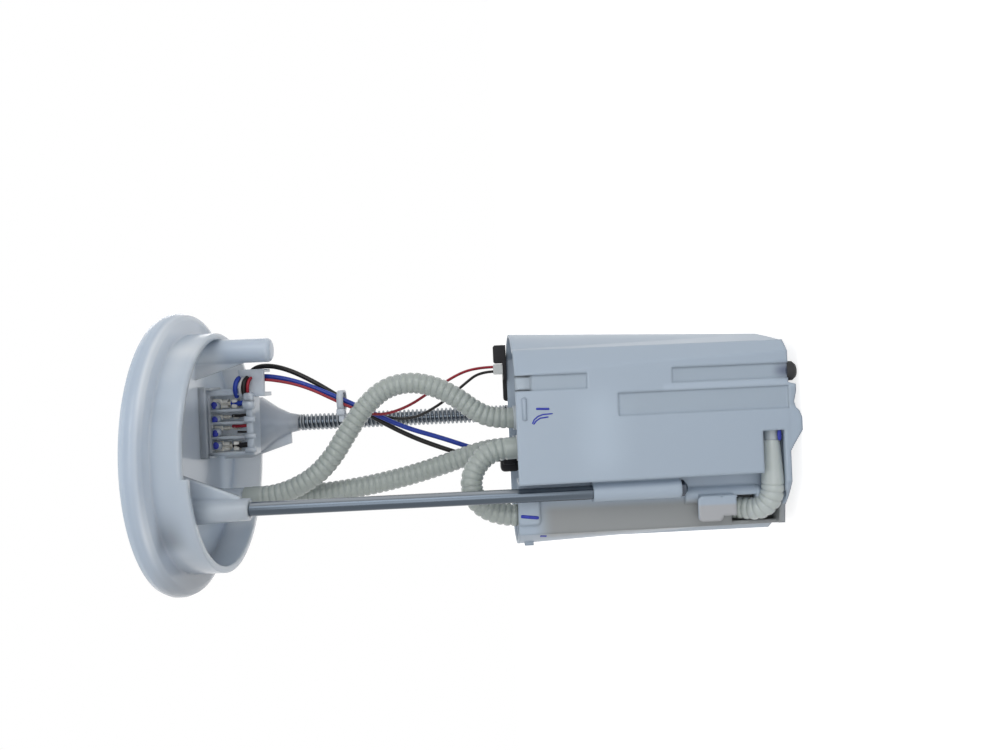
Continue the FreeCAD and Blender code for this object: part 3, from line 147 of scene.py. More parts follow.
def growing_tree(name, **inputs):
    """A geometry tree with a geometry input and output and named inputs for its sizes."""
    tree = bpy.data.node_groups.new(name, "GeometryNodeTree")
    tree.interface.new_socket("Geometry", in_out="INPUT", socket_type="NodeSocketGeometry")
    for label, kind in inputs.items():
        title = label.replace("_", " ").title()
        tree.interface.new_socket(title, in_out="INPUT", socket_type=KINDS[kind])
    tree.interface.new_socket("Geometry", in_out="OUTPUT", socket_type="NodeSocketGeometry")
    return tree, tree.nodes.new("NodeGroupInput").outputs, tree.nodes.new("NodeGroupOutput").inputs


def grown(name, base, tree, **sizes):
    """What a tree makes of the base object, as a plain mesh object. The base goes away."""
    modifier = base.modifiers.new("grow", "NODES")
    modifier.node_group = tree
    for label, given in sizes.items():
        socket = tree.interface.items_tree[label.replace("_", " ").title()]
        modifier[socket.identifier] = given
    bpy.context.view_layer.update()
    depsgraph = bpy.context.evaluated_depsgraph_get()
    mesh = bpy.data.meshes.new_from_object(base.evaluated_get(depsgraph))
    bpy.data.objects.remove(base)
    mesh.name = name
    return placed(name, mesh)


def swept(tree, line, sides, radius):
    """The skin of a line: a round section of the radius at each point and closed ends."""
    ring = node(tree, "GeometryNodeCurvePrimitiveCircle", Resolution=sides, Radius=1.0)
    return node(tree, "GeometryNodeCurveToMesh", Curve=line, Profile_Curve=ring.outputs[0], Scale=radius,
                Fill_Caps=True).outputs[0]


def finish_tree(tree, made, outs, material):
    """Ends a tree with Realize Instances, smooth faces and its material."""
    real = node(tree, "GeometryNodeRealizeInstances", Geometry=made)
    smooth = node(tree, "GeometryNodeSetShadeSmooth", Geometry=real.outputs[0])
    dressed = node(tree, "GeometryNodeSetMaterial", Geometry=smooth.outputs[0], Material=material)
    tree.links.new(dressed.outputs[0], outs["Geometry"])


# Small mesh pieces, in millimetres

WELD = 0.001


def finished(name, bm, material, body, smooth=True):
    """The mesh as a piece that rides on a body, its faces outwards."""
    bmesh.ops.remove_doubles(bm, verts=bm.verts, dist=WELD * MM)
    bmesh.ops.recalc_face_normals(bm, faces=bm.faces)
    mesh = bpy.data.meshes.new(name)
    bm.to_mesh(mesh)
    bm.free()
    for face in mesh.polygons:
        face.use_smooth = smooth
    mesh.materials.append(material)
    piece = placed(name, mesh)
    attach(piece, body)
    return piece


AXES = {"x": (1, 2, 0), "y": (0, 2, 1), "z": (0, 1, 2)}


def turned(bm, profile, centre, axis="z", sides=32, around=(1.0, 1.0)):
    """Adds a body of revolution from radii and places along its axis. The outline may be oval."""
    first, second, along = AXES[axis]
    rings = []
    for radius, level in profile:
        count = sides if radius > 0 else 1
        ring = []
        for i in range(count):
            angle = 2 * math.pi * i / count
            place = list(centre)
            place[first] += radius * around[0] * math.cos(angle)
            place[second] += radius * around[1] * math.sin(angle)
            place[along] += level
            ring.append(bm.verts.new(mm(*place)))
        rings.append(ring)
    for ring, following in zip(rings, rings[1:]):
        steps = max(len(ring), len(following))
        for i in range(steps):
            corners = [ring[i % len(ring)], ring[(i + 1) % len(ring)],
                       following[(i + 1) % len(following)], following[i % len(following)]]
            bm.faces.new(list(dict.fromkeys(corners)))
    for ring in (rings[0], rings[-1]):
        if len(ring) > 1:
            bm.faces.new(ring)


def walled(bm, ring, following):
    """Adds the faces between two closed rings of as many points."""
    count = len(ring)
    for i in range(count):
        bm.faces.new((ring[i], ring[(i + 1) % count], following[(i + 1) % count], following[i]))


def block(bm, low, high, round_by, segments=3):
    """Adds a block between two corners with its edges rounded."""
    verts = bmesh.ops.create_cube(bm, size=1.0)["verts"]
    for vert in verts:
        share = [0.5 + c for c in vert.co]
        vert.co = mm(*[a + (b - a) * t for a, b, t in zip(low, high, share)])
    edges = list(dict.fromkeys(edge for vert in verts for edge in vert.link_edges))
    bmesh.ops.bevel(bm, geom=edges, offset=round_by * MM, segments=segments, profile=0.5,
                    affect="EDGES")


def strip(bm, outline, low, high, axis="z"):
    """Adds a prism with a closed outline between two levels along an axis."""
    first, second, along = AXES[axis]
    rings = []
    for level in (low, high):
        ring = []
        for a, b in outline:
            place = [0.0, 0.0, 0.0]
            place[first] = a
            place[second] = b
            place[along] = level
            ring.append(bm.verts.new(mm(*place)))
        rings.append(ring)
    walled(bm, *rings)
    bm.faces.new(rings[0])
    bm.faces.new(rings[1])


# Finishes

def base_material(name):
    material = bpy.data.materials.new(name)
    material.use_nodes = True
    tree = material.node_tree
    return material, tree, tree.nodes["Principled BSDF"]


def clouded(tree, place, colour, spread, scale, detail=3.0):
    """The colour, a little darker and lighter in soft clouds."""
    cloud = node(tree, "ShaderNodeTexNoise", Vector=place, Scale=scale, Detail=detail)
    darker = (*(c * (1 - spread) for c in colour), 1)
    lighter = (*(min(1, c * (1 + spread)) for c in colour), 1)
    return mixed(tree, "RGBA", cloud.outputs["Fac"], darker, lighter)


def stretched(tree, scale):
    """Object coordinates, squeezed along an axis so that a pattern becomes streaks."""
    place = node(tree, "ShaderNodeTexCoord").outputs["Object"]
    return node(tree, "ShaderNodeMapping", Vector=place, Scale=scale).outputs[0]


LEAST_ROUGHNESS = 0.02
GRAIN_STRENGTH = 0.6
EDGE_SAMPLES = 8


def surface(name, colour, roughness, metallic=0.0, spread=0.06, cloud=30.0, grain=700.0, grain_depth=0.02,
            rough_spread=0.06, streaks=(1, 1, 1), edge=0.0, **constants):
    """A finish with clouded colour, uneven gloss, a fine grain and perhaps softened edges."""
    material, tree, shader = base_material(name)
    place = stretched(tree, streaks)
    tree.links.new(clouded(tree, place, colour, spread, cloud), shader.inputs["Base Color"])
    gloss = node(tree, "ShaderNodeTexNoise", Vector=place, Scale=cloud * 3, Detail=2.0)
    rough = node(tree, "ShaderNodeMapRange", Value=gloss.outputs["Fac"])
    rough.inputs["To Min"].default_value = max(LEAST_ROUGHNESS, roughness - rough_spread)
    rough.inputs["To Max"].default_value = roughness + rough_spread
    tree.links.new(rough.outputs[0], shader.inputs["Roughness"])
    relief = node(tree, "ShaderNodeTexNoise", Vector=place, Scale=grain, Detail=2.0)
    bump = node(tree, "ShaderNodeBump", Height=relief.outputs["Fac"], Distance=grain_depth * MM,
                Strength=GRAIN_STRENGTH)
    if edge:
        rounded = node(tree, "ShaderNodeBevel", {"samples": EDGE_SAMPLES}, Radius=edge * MM)
        tree.links.new(rounded.outputs[0], bump.inputs["Normal"])
    tree.links.new(bump.outputs[0], shader.inputs["Normal"])
    shader.inputs["Metallic"].default_value = metallic
    for key, given in constants.items():
        shader.inputs[key.replace("_", " ")].default_value = given
    return material


def srgb(*screen):
    """A colour given as it looks on a screen: red, green and blue from 0 to 255."""
    return tuple(c / 255 / 12.92 if c <= 10 else ((c / 255 + 0.055) / 1.055) ** 2.4 for c in screen)


def span(tree, along, low, high, soft):
    """One between low and high along an axis, fading to nought over a soft edge. Millimetres."""
    rising = node(tree, "ShaderNodeMapRange", {"interpolation_type": "SMOOTHSTEP"}, Value=along)
    falling = node(tree, "ShaderNodeMapRange", {"interpolation_type": "SMOOTHSTEP"}, Value=along)
    for made, start, end in ((rising, low - soft, low + soft), (falling, high + soft, high - soft)):
        made.inputs["From Min"].default_value = start * MM
        made.inputs["From Max"].default_value = end * MM
    return sums(tree, "MULTIPLY", rising.outputs[0], falling.outputs[0])


def tint_zone(material, colour, share, soft, spans):
    """Draws the colour over a region: low, high and perhaps softness along x, y and z. Millimetres."""
    tree = material.node_tree
    socket = tree.nodes["Principled BSDF"].inputs["Base Color"]
    under = socket.links[0].from_socket
    place = node(tree, "ShaderNodeTexCoord").outputs["Object"]
    axes = node(tree, "ShaderNodeSeparateXYZ", Vector=place).outputs
    mask = share
    for axis, (low, high, *own) in spans.items():
        part = span(tree, axes[axis.upper()], low, high, own[0] if own else soft)
        mask = sums(tree, "MULTIPLY", mask, part)
    tree.links.new(mixed(tree, "RGBA", mask, under, (*colour, 1)), socket)


SOFT_LIGHT = {"Subsurface_Weight": 0.3, "Subsurface_Radius": (1.0, 1.0, 1.0), "Subsurface_Scale": 2 * MM}
MILKY_LIGHT = {"Subsurface_Weight": 0.8, "Subsurface_Radius": (1.0, 1.0, 1.0), "Subsurface_Scale": 12 * MM}

flange_plastic = surface("flange_plastic", srgb(180, 192, 206), 0.17, spread=0.02, cloud=14.0, grain=180.0,
                         grain_depth=0.02, rough_spread=0.02, edge=1.6, Specular_IOR_Level=0.4, **MILKY_LIGHT)
reservoir_plastic = surface("reservoir_plastic", srgb(165, 179, 194), 0.36, spread=0.025, cloud=11.0,
                            grain=380.0, grain_depth=0.012, edge=1.8, **SOFT_LIGHT)
holder_plastic = surface("holder_plastic", srgb(176, 184, 190), 0.42, spread=0.04, edge=0.4, **SOFT_LIGHT)
hose_plastic = surface("hose_plastic", srgb(163, 171, 168), 0.24, spread=0.05, cloud=60.0, grain=900.0,
                       Subsurface_Weight=0.5, Subsurface_Radius=(1.0, 1.0, 0.8), Subsurface_Scale=2.5 * MM)
peg_plastic = surface("peg_plastic", srgb(178, 190, 206), 0.1, spread=0.03, edge=0.3, **MILKY_LIGHT)
tie_nylon = surface("tie_nylon", srgb(190, 198, 208), 0.3, spread=0.04, **SOFT_LIGHT)
rod_steel = surface("rod_steel", srgb(82, 90, 99), 0.2, metallic=1.0, spread=0.2, cloud=320.0, grain=900.0,
                    grain_depth=0.003, rough_spread=0.05, streaks=(1, 1, 0.03))
spring_steel = surface("spring_steel", srgb(140, 145, 150), 0.34, metallic=1.0, spread=0.25, cloud=200.0)
terminal_tin = surface("terminal_tin", srgb(238, 236, 228), 0.3, metallic=0.4, spread=0.16, cloud=700.0)
pump_steel = surface("pump_steel", srgb(170, 172, 174), 0.3, metallic=1.0, streaks=(1, 1, 0.1), cloud=120.0)
arm_steel = surface("arm_steel", srgb(168, 170, 172), 0.25, metallic=1.0, spread=0.15, cloud=300.0)
black_plastic = surface("black_plastic", (0.012, 0.012, 0.015), 0.38, spread=0.3, cloud=90.0, grain=800.0,
                        edge=0.3, Specular_IOR_Level=0.2)
bracket_steel = surface("bracket_steel", srgb(74, 79, 88), 0.2, metallic=1.0, spread=0.3, cloud=260.0)
black_rubber = surface("black_rubber", (0.014, 0.014, 0.016), 0.6, spread=0.3, cloud=120.0, grain=1500.0)
plug_white = surface("plug_white", srgb(200, 203, 203), 0.4, spread=0.04, edge=0.3, **SOFT_LIGHT)
card_ceramic = surface("card_ceramic", srgb(190, 188, 176), 0.5)
track_ink = surface("track_ink", (0.05, 0.045, 0.04), 0.45, spread=0.3, cloud=600.0)
float_foam = surface("float_foam", (0.03, 0.026, 0.022), 0.75, spread=0.35, cloud=180.0, grain=1400.0,
                     grain_depth=0.12)
strainer_mesh = surface("strainer_mesh", srgb(196, 198, 190), 0.7, grain=1800.0, grain_depth=0.2)
wire_black = surface("wire_black", (0.012, 0.011, 0.011), 0.3, spread=0.3, cloud=150.0,
                     Specular_IOR_Level=0.25)
wire_blue = surface("wire_blue", (0.016, 0.045, 0.33), 0.3, spread=0.25, cloud=150.0, Specular_IOR_Level=0.3)
wire_red = surface("wire_red", (0.3, 0.016, 0.03), 0.3, spread=0.25, cloud=150.0, Specular_IOR_Level=0.3)
wire_white = surface("wire_white", srgb(196, 196, 196), 0.3, spread=0.05, cloud=150.0)
ink_blue = surface("ink_blue", (0.02, 0.035, 0.36), 0.5, spread=0.5, cloud=700.0, grain=500.0,
                   grain_depth=0.05)

# Painted shade for the recessed channel wall under the near wall.
CHANNEL_PAINTED_SHADE = srgb(138, 139, 137)
# Painted shade for the shallow flutes of the near wall, darker as if their recesses were in shade.
FLUTE_PAINTED_SHADE = srgb(153, 166, 177)
# Painted light for hollows of the flange, standing in for light that passes through the milky plastic.
PAINTED_INNER_LIGHT = srgb(216, 223, 231)
NEAR_SIDE = (-60, -20)

# A finish, then colour, share, softness and region of each of its zones. A zone covers those above it. Many
# zones are painted shade and painted light.
TINTS = [
    (reservoir_plastic, [
        # The three flutes: painted shade in their recesses.
        (FLUTE_PAINTED_SHADE, 0.4, 0.7, {"x": (23.4, 29.2), "y": NEAR_SIDE, "z": (93, 130)}),  # upper flute
        (FLUTE_PAINTED_SHADE, 0.35, 0.9, {"x": (24, 30.2), "y": NEAR_SIDE, "z": (0, 55)}),  # lower flute
        (FLUTE_PAINTED_SHADE, 0.35, 1.2, {"x": (11.5, 20), "y": NEAR_SIDE, "z": (0, 78.5)}),  # wide flute
        # The ridge: a painted highlight where light catches its top.
        (srgb(178, 192, 207), 0.6, 1.2, {"x": (20.3, 23.2), "y": NEAR_SIDE, "z": (0, 60)}),  # ridge
        # The channel wall: painted shade in the recess.
        (CHANNEL_PAINTED_SHADE, 0.85, 2.5, {"x": (-43, -28.5), "y": (-31.5, -12, 1), "z": (4, 112, 5)}),  # channel wall
        (srgb(36, 40, 84), 0.9, 3.5, {"x": (25, 28.8), "y": NEAR_SIDE, "z": (0, 10)}),  # smear of ink
        (srgb(172, 172, 174), 0.85, 0.5, {"x": (-42, -30, 0.8), "y": (-37, -32.6), "z": (17, 45)}),  # tab
        # A painted highlight band across the middle of the near wall.
        (srgb(180, 195, 210), 0.6, 9.0, {"x": (-12, 20), "y": (-60, -38, 2), "z": (79, 95)}),  # light wall
    ]),
    (flange_plastic, [
        # The inner floor: painted light in the hollow.
        (PAINTED_INNER_LIGHT, 0.3, 4.0, {"x": (-50, 50), "y": (-44, 60), "z": (261, 271.5)}),  # inner floor
        # The upper inner wall: painted light.
        (srgb(226, 233, 240), 0.8, 5.0, {"x": (30, 48), "y": (-33, 60), "z": (257, 271.5)}),  # upper wall
        # The low side: painted shade on the side away from the light.
        (srgb(140, 146, 154), 0.75, 12.0, {"x": (-80, -48), "y": (-70, 70), "z": (262, 284)}),  # low side
        # The ring under the rim: painted light against the shade in its corner.
        (PAINTED_INNER_LIGHT, 0.9, 0.8, {"x": (-36, 62, 12), "y": (-62, 10, 6), "z": (269.4, 272)}),  # underside ring
        # The near rim: painted shade, darker than the lamps leave it.
        (srgb(166, 179, 194), 0.7, 1.5, {"x": (-70, 70), "y": (-80, -40, 12), "z": (273.5, 282)}),  # near rim
        # The near part of the inner floor: painted shade inside the flange.
        (srgb(140, 148, 158), 0.8, 4.0, {"x": (-36, 22), "y": (-50, 30), "z": (262, 270.5)}),  # near floor
        # The far inner wall and the tower window: painted light in the hollows.
        (PAINTED_INNER_LIGHT, 0.8, 5.0, {"x": (-50, 50), "y": (34, 60), "z": (240, 271.5)}),  # far inner wall
        (PAINTED_INNER_LIGHT, 0.9, 1.0, {"x": (-3, 28), "y": (7.5, 26), "z": (250, 268)}),  # tower window
        (srgb(160, 164, 172), 0.45, 4.0, {"x": (-8, 29), "y": (27, 60), "z": (225, 262)}),  # cone
    ]),
    # The front rod: a painted highlight along its top.
    (rod_steel, [(srgb(190, 196, 202), 0.45, 0.5, {"x": (-20.2, -18.6), "y": (-40, -30)})]),
    # The jet hose's lower end: painted light, lighter as if nearer the lamps.
    (hose_plastic, [(srgb(186, 194, 194), 0.8, 5.0, {"x": (-45, 10), "y": (-60, -15), "z": (0, 24)})]),
]


def tint_finishes():
    for material, zones in TINTS:
        for colour, share, soft, spans in zones:
            tint_zone(material, colour, share, soft, spans)


tint_finishes()

NODE_FINISH = {
    "flange_cover": flange_plastic, "reservoir_pot": reservoir_plastic, "pump_holder": holder_plastic,
    "front_guide_rod": rod_steel, "rear_guide_rod": rod_steel, "front_rod_ring": bracket_steel,
    "rear_rod_ring": bracket_steel, "power_terminals": terminal_tin, "sender_terminals": terminal_tin,
    "cable_tie": tie_nylon, "pump_case": pump_steel, "pump_outlet_cap": black_plastic,
    "pump_inlet_cap": black_plastic, "pump_strainer": strainer_mesh, "lower_isolator": black_rubber,
    "upper_isolator": black_rubber, "pressure_regulator": pump_steel, "jet_pump": holder_plastic,
    "inlet_valve": black_rubber, "bottom_bumper": black_rubber, "level_sender_housing": black_plastic,
    "resistor_card": card_ceramic, "sender_plug": plug_white, "pump_connector": black_plastic,
    "supply_hose": hose_plastic, "return_hose": hose_plastic, "jet_feed_hose": hose_plastic,
    "pump_wire_black": wire_black, "pump_wire_blue": wire_blue, "sender_wire_red": wire_red,
    "sender_wire_black": wire_black, "compression_spring": spring_steel, "wiper_holder": black_plastic,
    "float_arm": arm_steel, "float": float_foam,
}


def dress_nodes():
    for name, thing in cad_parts.items():
        thing.data.materials.clear()
        thing.data.materials.append(NODE_FINISH[name])


dress_nodes()


# Hoses and wires

# Points of each middle line from the flange down to the reservoir, the jet hose's from the lid to the jet
SUPPLY_ROUTE = [
    (-22.5, 2, 250), (-22.5, 2, 240.5), (-20.6, 2, 230), (-15, 2, 218), (-6, 2, 208.5), (6, 2, 200.8),
    (17.8, 2, 192.4), (26.4, 2, 182.5), (28.8, 2, 170.5), (26.3, 2, 158.8), (20.4, 2, 148.4),
    (13.4, 2, 139.8), (9.5, 2, 131.2), (9.5, 2, 122)]
RETURN_ROUTE = [
    (-24, 15, 250), (-24, 15, 239.5), (-24.4, 15.2, 224), (-22.4, 15.5, 200), (-18, 15, 176),
    (-12.5, 14, 156), (-7.6, 12.6, 141), (-5.5, 12, 131), (-5.5, 12, 122)]
JET_ROUTE = [
    (-3, -18, 122), (-3, -18, 129.5), (-6, -18.8, 137), (-12.8, -20.2, 142.4), (-21, -21.4, 143.4),
    (-28.2, -21.6, 138.9), (-32.3, -21, 130), (-33.3, -20.8, 116), (-33.3, -20.5, 92), (-33.2, -20.6, 68),
    (-33.4, -20.7, 48), (-33.6, -20.8, 36), (-33.9, -21, 27.4), (-34, -22.9, 22.9), (-34, -28.4, 17.3),
    (-31.2, -31.8, 13.8), (-26.3, -33.7, 11.9), (-18.4, -34, 11.7), (-10.7, -33.8, 11.8), (-3, -33.8, 11.8)]
PUMP_BLACK_ROUTE = [
    (29.5, 16.4, 251.2), (34.6, 16.8, 251), (39.4, 17, 246.6), (39.6, 16.6, 238.5), (36.6, 16, 229),
    (30.4, 15.4, 217.5), (22, 15.7, 205), (10.6, 18.6, 188.5), (1.5, 21.2, 173), (-5, 22.5, 158),
    (-10.4, 22.4, 143), (-12.3, 22, 134.5), (-12.3, 22, 127.5)]
PUMP_BLUE_ROUTE = [
    (29.5, 12.5, 250), (33, 12.5, 248.5), (35, 12.5, 241.5), (31.6, 12.6, 226), (23.5, 12.6, 208),
    (14.6, 15, 191), (6, 18.8, 175), (0.2, 21.2, 158), (-5.6, 22.2, 143), (-8.7, 22, 134.5),
    (-8.7, 22, 127.5)]
SENDER_RED_ROUTE = [
    (29.5, 9.6, 248.5), (32.5, 9.6, 246.5), (33, 9.8, 239), (29, 10.2, 222), (19.3, 11, 204), (12.5, 13, 189),
    (15.5, 15.5, 174.5), (24, 18.5, 160.5), (32, 22.5, 147), (34.3, 26.8, 137), (34.3, 27.4, 129.8)]
SENDER_BLACK_ROUTE = [
    (29.5, 19, 249.5), (33, 19.2, 247.6), (34.2, 19, 239), (29.2, 18.2, 224), (20.6, 18, 205), (12, 22, 188),
    (9.4, 21.8, 171.5), (17, 22.4, 156.5), (26.5, 24.6, 144.5), (31.9, 26.8, 137), (32, 27.4, 129.8)]


CURVE_STEPS = 24


def spline(name, route):
    """A smooth line with the route's points as its control points."""
    curve = bpy.data.curves.new(name, "CURVE")
    curve.dimensions = "3D"
    line = curve.splines.new("NURBS")
    line.points.add(len(route) - 1)
    for point, place in zip(line.points, route):
        point.co = (*mm(*place), 1)
    line.order_u = 3
    line.use_endpoint_u = True
    line.resolution_u = CURVE_STEPS
    return placed(name, curve)


def followed(name, route):
    """Points read from the route's own smooth line."""
    line = spline(name, route)
    mesh = bpy.data.meshes.new_from_object(line)
    points = [v.co.copy() for v in mesh.vertices]
    bpy.data.meshes.remove(mesh)
    bpy.data.objects.remove(line)
    return points


RIB_SHARPNESS = 3.0


def hose_tree():
    """A ribbed skin along a curve, with a plain cuff at its start and a tapered one at its end."""
    tree, ins, outs = growing_tree(
        "corrugated_hose", root_radius="float", crest_radius="float", rib_pitch="float", start_cuff="float",
        end_cuff="float", end_radius="float", steps_per_rib="int", sides="int", material="material")
    step = sums(tree, "DIVIDE", ins["Rib Pitch"], ins["Steps Per Rib"])
    fine = node(tree, "GeometryNodeResampleCurve", {"mode": "LENGTH"}, Curve=ins["Geometry"], Length=step)
    along = node(tree, "GeometryNodeSplineParameter").outputs["Length"]
    total = node(tree, "GeometryNodeSplineLength").outputs["Length"]
    left = sums(tree, "SUBTRACT", total, along)
    phase = sums(tree, "FRACT", sums(tree, "DIVIDE", along, ins["Rib Pitch"]))
    off_crest = sums(tree, "ABSOLUTE", sums(tree, "MULTIPLY_ADD", phase, 2.0, -1.0))
    crest = sums(tree, "SUBTRACT", 1.0, sums(tree, "POWER", off_crest, RIB_SHARPNESS))
    rise = sums(tree, "SUBTRACT", ins["Crest Radius"], ins["Root Radius"])
    ribbed = sums(tree, "MULTIPLY_ADD", crest, rise, ins["Root Radius"])
    in_start = sums(tree, "LESS_THAN", along, ins["Start Cuff"])
    in_end = sums(tree, "LESS_THAN", left, ins["End Cuff"])
    end_share = sums(tree, "DIVIDE", left, sums(tree, "MAXIMUM", ins["End Cuff"], 1e-5))
    end_rise = sums(tree, "SUBTRACT", ins["Crest Radius"], ins["End Radius"])
    tapered = sums(tree, "MULTIPLY_ADD", end_share, end_rise, ins["End Radius"])
    but_end = mixed(tree, "FLOAT", in_start, ribbed, ins["Crest Radius"])
    radius = mixed(tree, "FLOAT", in_end, but_end, tapered)
    finish_tree(tree, swept(tree, fine.outputs[0], ins["Sides"], radius), outs, ins["Material"])
    return tree


def wire_tree():
    """A plain round skin along a curve."""
    tree, ins, outs = growing_tree("insulated_wire", radius="float", spacing="float", sides="int",
                                   material="material")
    fine = node(tree, "GeometryNodeResampleCurve", {"mode": "LENGTH"}, Curve=ins["Geometry"],
                Length=ins["Spacing"])
    finish_tree(tree, swept(tree, fine.outputs[0], ins["Sides"], ins["Radius"]), outs, ins["Material"])
    return tree


HOSES = hose_tree()
WIRES = wire_tree()
HOSE_CREST = 4.95
HOSE_ROOT = 4.35
RIB_PITCH = 3.0
RIB_STEPS = 8
HOSE_SIDES = 32
WIRE_SIDES = 12
JET_END_RADIUS = 3.6


def make_hose(name, route, start_cuff, end_cuff, end_radius=HOSE_CREST):
    """The skin of a hose that replaces its solid, with the points of its middle line."""
    points = followed(name, route)
    hose = grown(name, spline(name, route), HOSES, root_radius=HOSE_ROOT * MM,
                 crest_radius=HOSE_CREST * MM, rib_pitch=RIB_PITCH * MM, start_cuff=start_cuff * MM,
                 end_cuff=end_cuff * MM, end_radius=end_radius * MM, steps_per_rib=RIB_STEPS,
                 sides=HOSE_SIDES, material=hose_plastic)
    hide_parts(name.removesuffix("_skin"))
    return hose, points


def make_wire_skin(name, route, radius, spacing, material):
    """A wire's round skin, with its rings so far apart."""
    return grown(name, spline(name, route), WIRES, radius=radius * MM, spacing=spacing * MM,
                 sides=WIRE_SIDES, material=material)


def crossing(piece):
    """Bakes the placement into the mesh of a piece that spans the reservoir and the flange, which slides on
    its rods.
    """
    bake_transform(piece)


def make_hoses():
    for which, route in (("supply", SUPPLY_ROUTE), ("return", RETURN_ROUTE)):
        hose, points = make_hose(which + "_hose_skin", route, start_cuff=8, end_cuff=3)
        crossing(hose)
    hose, points = make_hose("jet_feed_hose_skin", JET_ROUTE, start_cuff=4, end_cuff=19,
                             end_radius=JET_END_RADIUS)
    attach(hose, RESERVOIR)


def make_wires():
    for name, route, radius, finish, slot in (
            ("pump_wire_black", PUMP_BLACK_ROUTE, 1.2, wire_black, "wire_black"),
            ("pump_wire_blue", PUMP_BLUE_ROUTE, 1.2, wire_blue, "wire_blue"),
            ("sender_wire_red", SENDER_RED_ROUTE, 0.7, wire_red, "wire_red"),
            ("sender_wire_black", SENDER_BLACK_ROUTE, 0.7, wire_black, "wire_black")):
        points = followed(name, route)
        wire = make_wire_skin(name + "_lead", route, radius, spacing=1.0, material=finish)
        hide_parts(name)
        crossing(wire)


make_hoses()
make_wires()


# Spring

CLOSED_PITCH = 2.05  # of the end turns, in radii of the wire


def spring_tree():
    """A coil round an upright axis whose end turns lie close, as on a squared spring."""
    tree, ins, outs = growing_tree(
        "coil_spring", coil_radius="float", wire_radius="float", turns="float", end_turns="float",
        low="float", high="float", centre_x="float", centre_y="float", points="int", sides="int",
        material="material")
    line = node(tree, "GeometryNodeCurvePrimitiveLine")
    fine = node(tree, "GeometryNodeResampleCurve", {"mode": "COUNT"}, Curve=line.outputs[0],
                Count=ins["Points"])
    share = node(tree, "GeometryNodeSplineParameter").outputs["Factor"]
    turn = sums(tree, "MULTIPLY", share, ins["Turns"])
    angle = sums(tree, "MULTIPLY", turn, 2 * math.pi)
    closed_pitch = sums(tree, "MULTIPLY", ins["Wire Radius"], CLOSED_PITCH)
    both_ends = sums(tree, "MULTIPLY", ins["End Turns"], 2.0)
    working = sums(tree, "SUBTRACT", ins["Turns"], both_ends)
    closed_low = sums(tree, "MINIMUM", turn, ins["End Turns"])
    after_low = sums(tree, "MAXIMUM", sums(tree, "SUBTRACT", turn, ins["End Turns"]), 0.0)
    opened = sums(tree, "MINIMUM", after_low, working)
    closed_high = sums(tree, "SUBTRACT", after_low, opened)
    closed = sums(tree, "MULTIPLY", sums(tree, "ADD", closed_low, closed_high), closed_pitch)
    whole = sums(tree, "SUBTRACT", ins["High"], ins["Low"])
    free = sums(tree, "SUBTRACT", whole, sums(tree, "MULTIPLY", both_ends, closed_pitch))
    rise = sums(tree, "MULTIPLY", opened, sums(tree, "DIVIDE", free, working))
    height = sums(tree, "ADD", ins["Low"], sums(tree, "ADD", rise, closed))
    x = sums(tree, "MULTIPLY_ADD", sums(tree, "COSINE", angle), ins["Coil Radius"], ins["Centre X"])
    y = sums(tree, "MULTIPLY_ADD", sums(tree, "SINE", angle), ins["Coil Radius"], ins["Centre Y"])
    place = node(tree, "ShaderNodeCombineXYZ", X=x, Y=y, Z=height)
    coil = node(tree, "GeometryNodeSetPosition", Geometry=fine.outputs[0], Position=place.outputs[0])
    skin = swept(tree, coil.outputs[0], ins["Sides"], ins["Wire Radius"])
    finish_tree(tree, skin, outs, ins["Material"])
    return tree


SPRING_WIRE = 0.62
SPRING_PITCH = 2.15
END_TURNS = 1.5
COIL_STEPS = 24
COIL_SIDES = 8


def make_spring():
    low = low_corner("compression_spring")
    high = high_corner("compression_spring")
    middle = (Vector(low) + Vector(high)) / 2
    outside = (high[0] - low[0]) / 2
    turns = (high[2] - low[2]) / (SPRING_PITCH * MM)
    base = placed("spring_seed", bpy.data.meshes.new("spring_seed"))
    spring = grown("compression_spring_coil", base, spring_tree(),
                   coil_radius=outside - SPRING_WIRE * MM, wire_radius=SPRING_WIRE * MM, turns=turns,
                   end_turns=END_TURNS, low=low[2] + SPRING_WIRE * MM, high=high[2] - SPRING_WIRE * MM,
                   centre_x=middle.x, centre_y=middle.y, points=int(turns * COIL_STEPS),
                   sides=COIL_SIDES, material=spring_steel)
    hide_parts("compression_spring")
    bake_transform(spring)


make_spring()


# Terminals, pegs and leads in the flange's tower

TERMINAL_Y = 12.0
TERMINAL_HIGH = 283.0
PIN_LOW = 262.0
CRIMP_LOW = 253.6
CRIMP_WALL = 0.45
CRIMP_DEPTH = 0.8
CRIMP_STEPS = 12
HALF_PLATE = 0.4

# Each crimp's width and wing, in widths of its pin, and its low and high end
CRIMPS = [(0.92, 0.55, 253.9, 256.4), (0.86, 0.45, 258.6, 261.2)]

# The places along x and the widths of each node's pins
TERMINALS = {"power_terminals": [(22.0, 5.0), (1.6, 5.0)], "sender_terminals": [(15.6, 2.4), (10.2, 2.4)]}


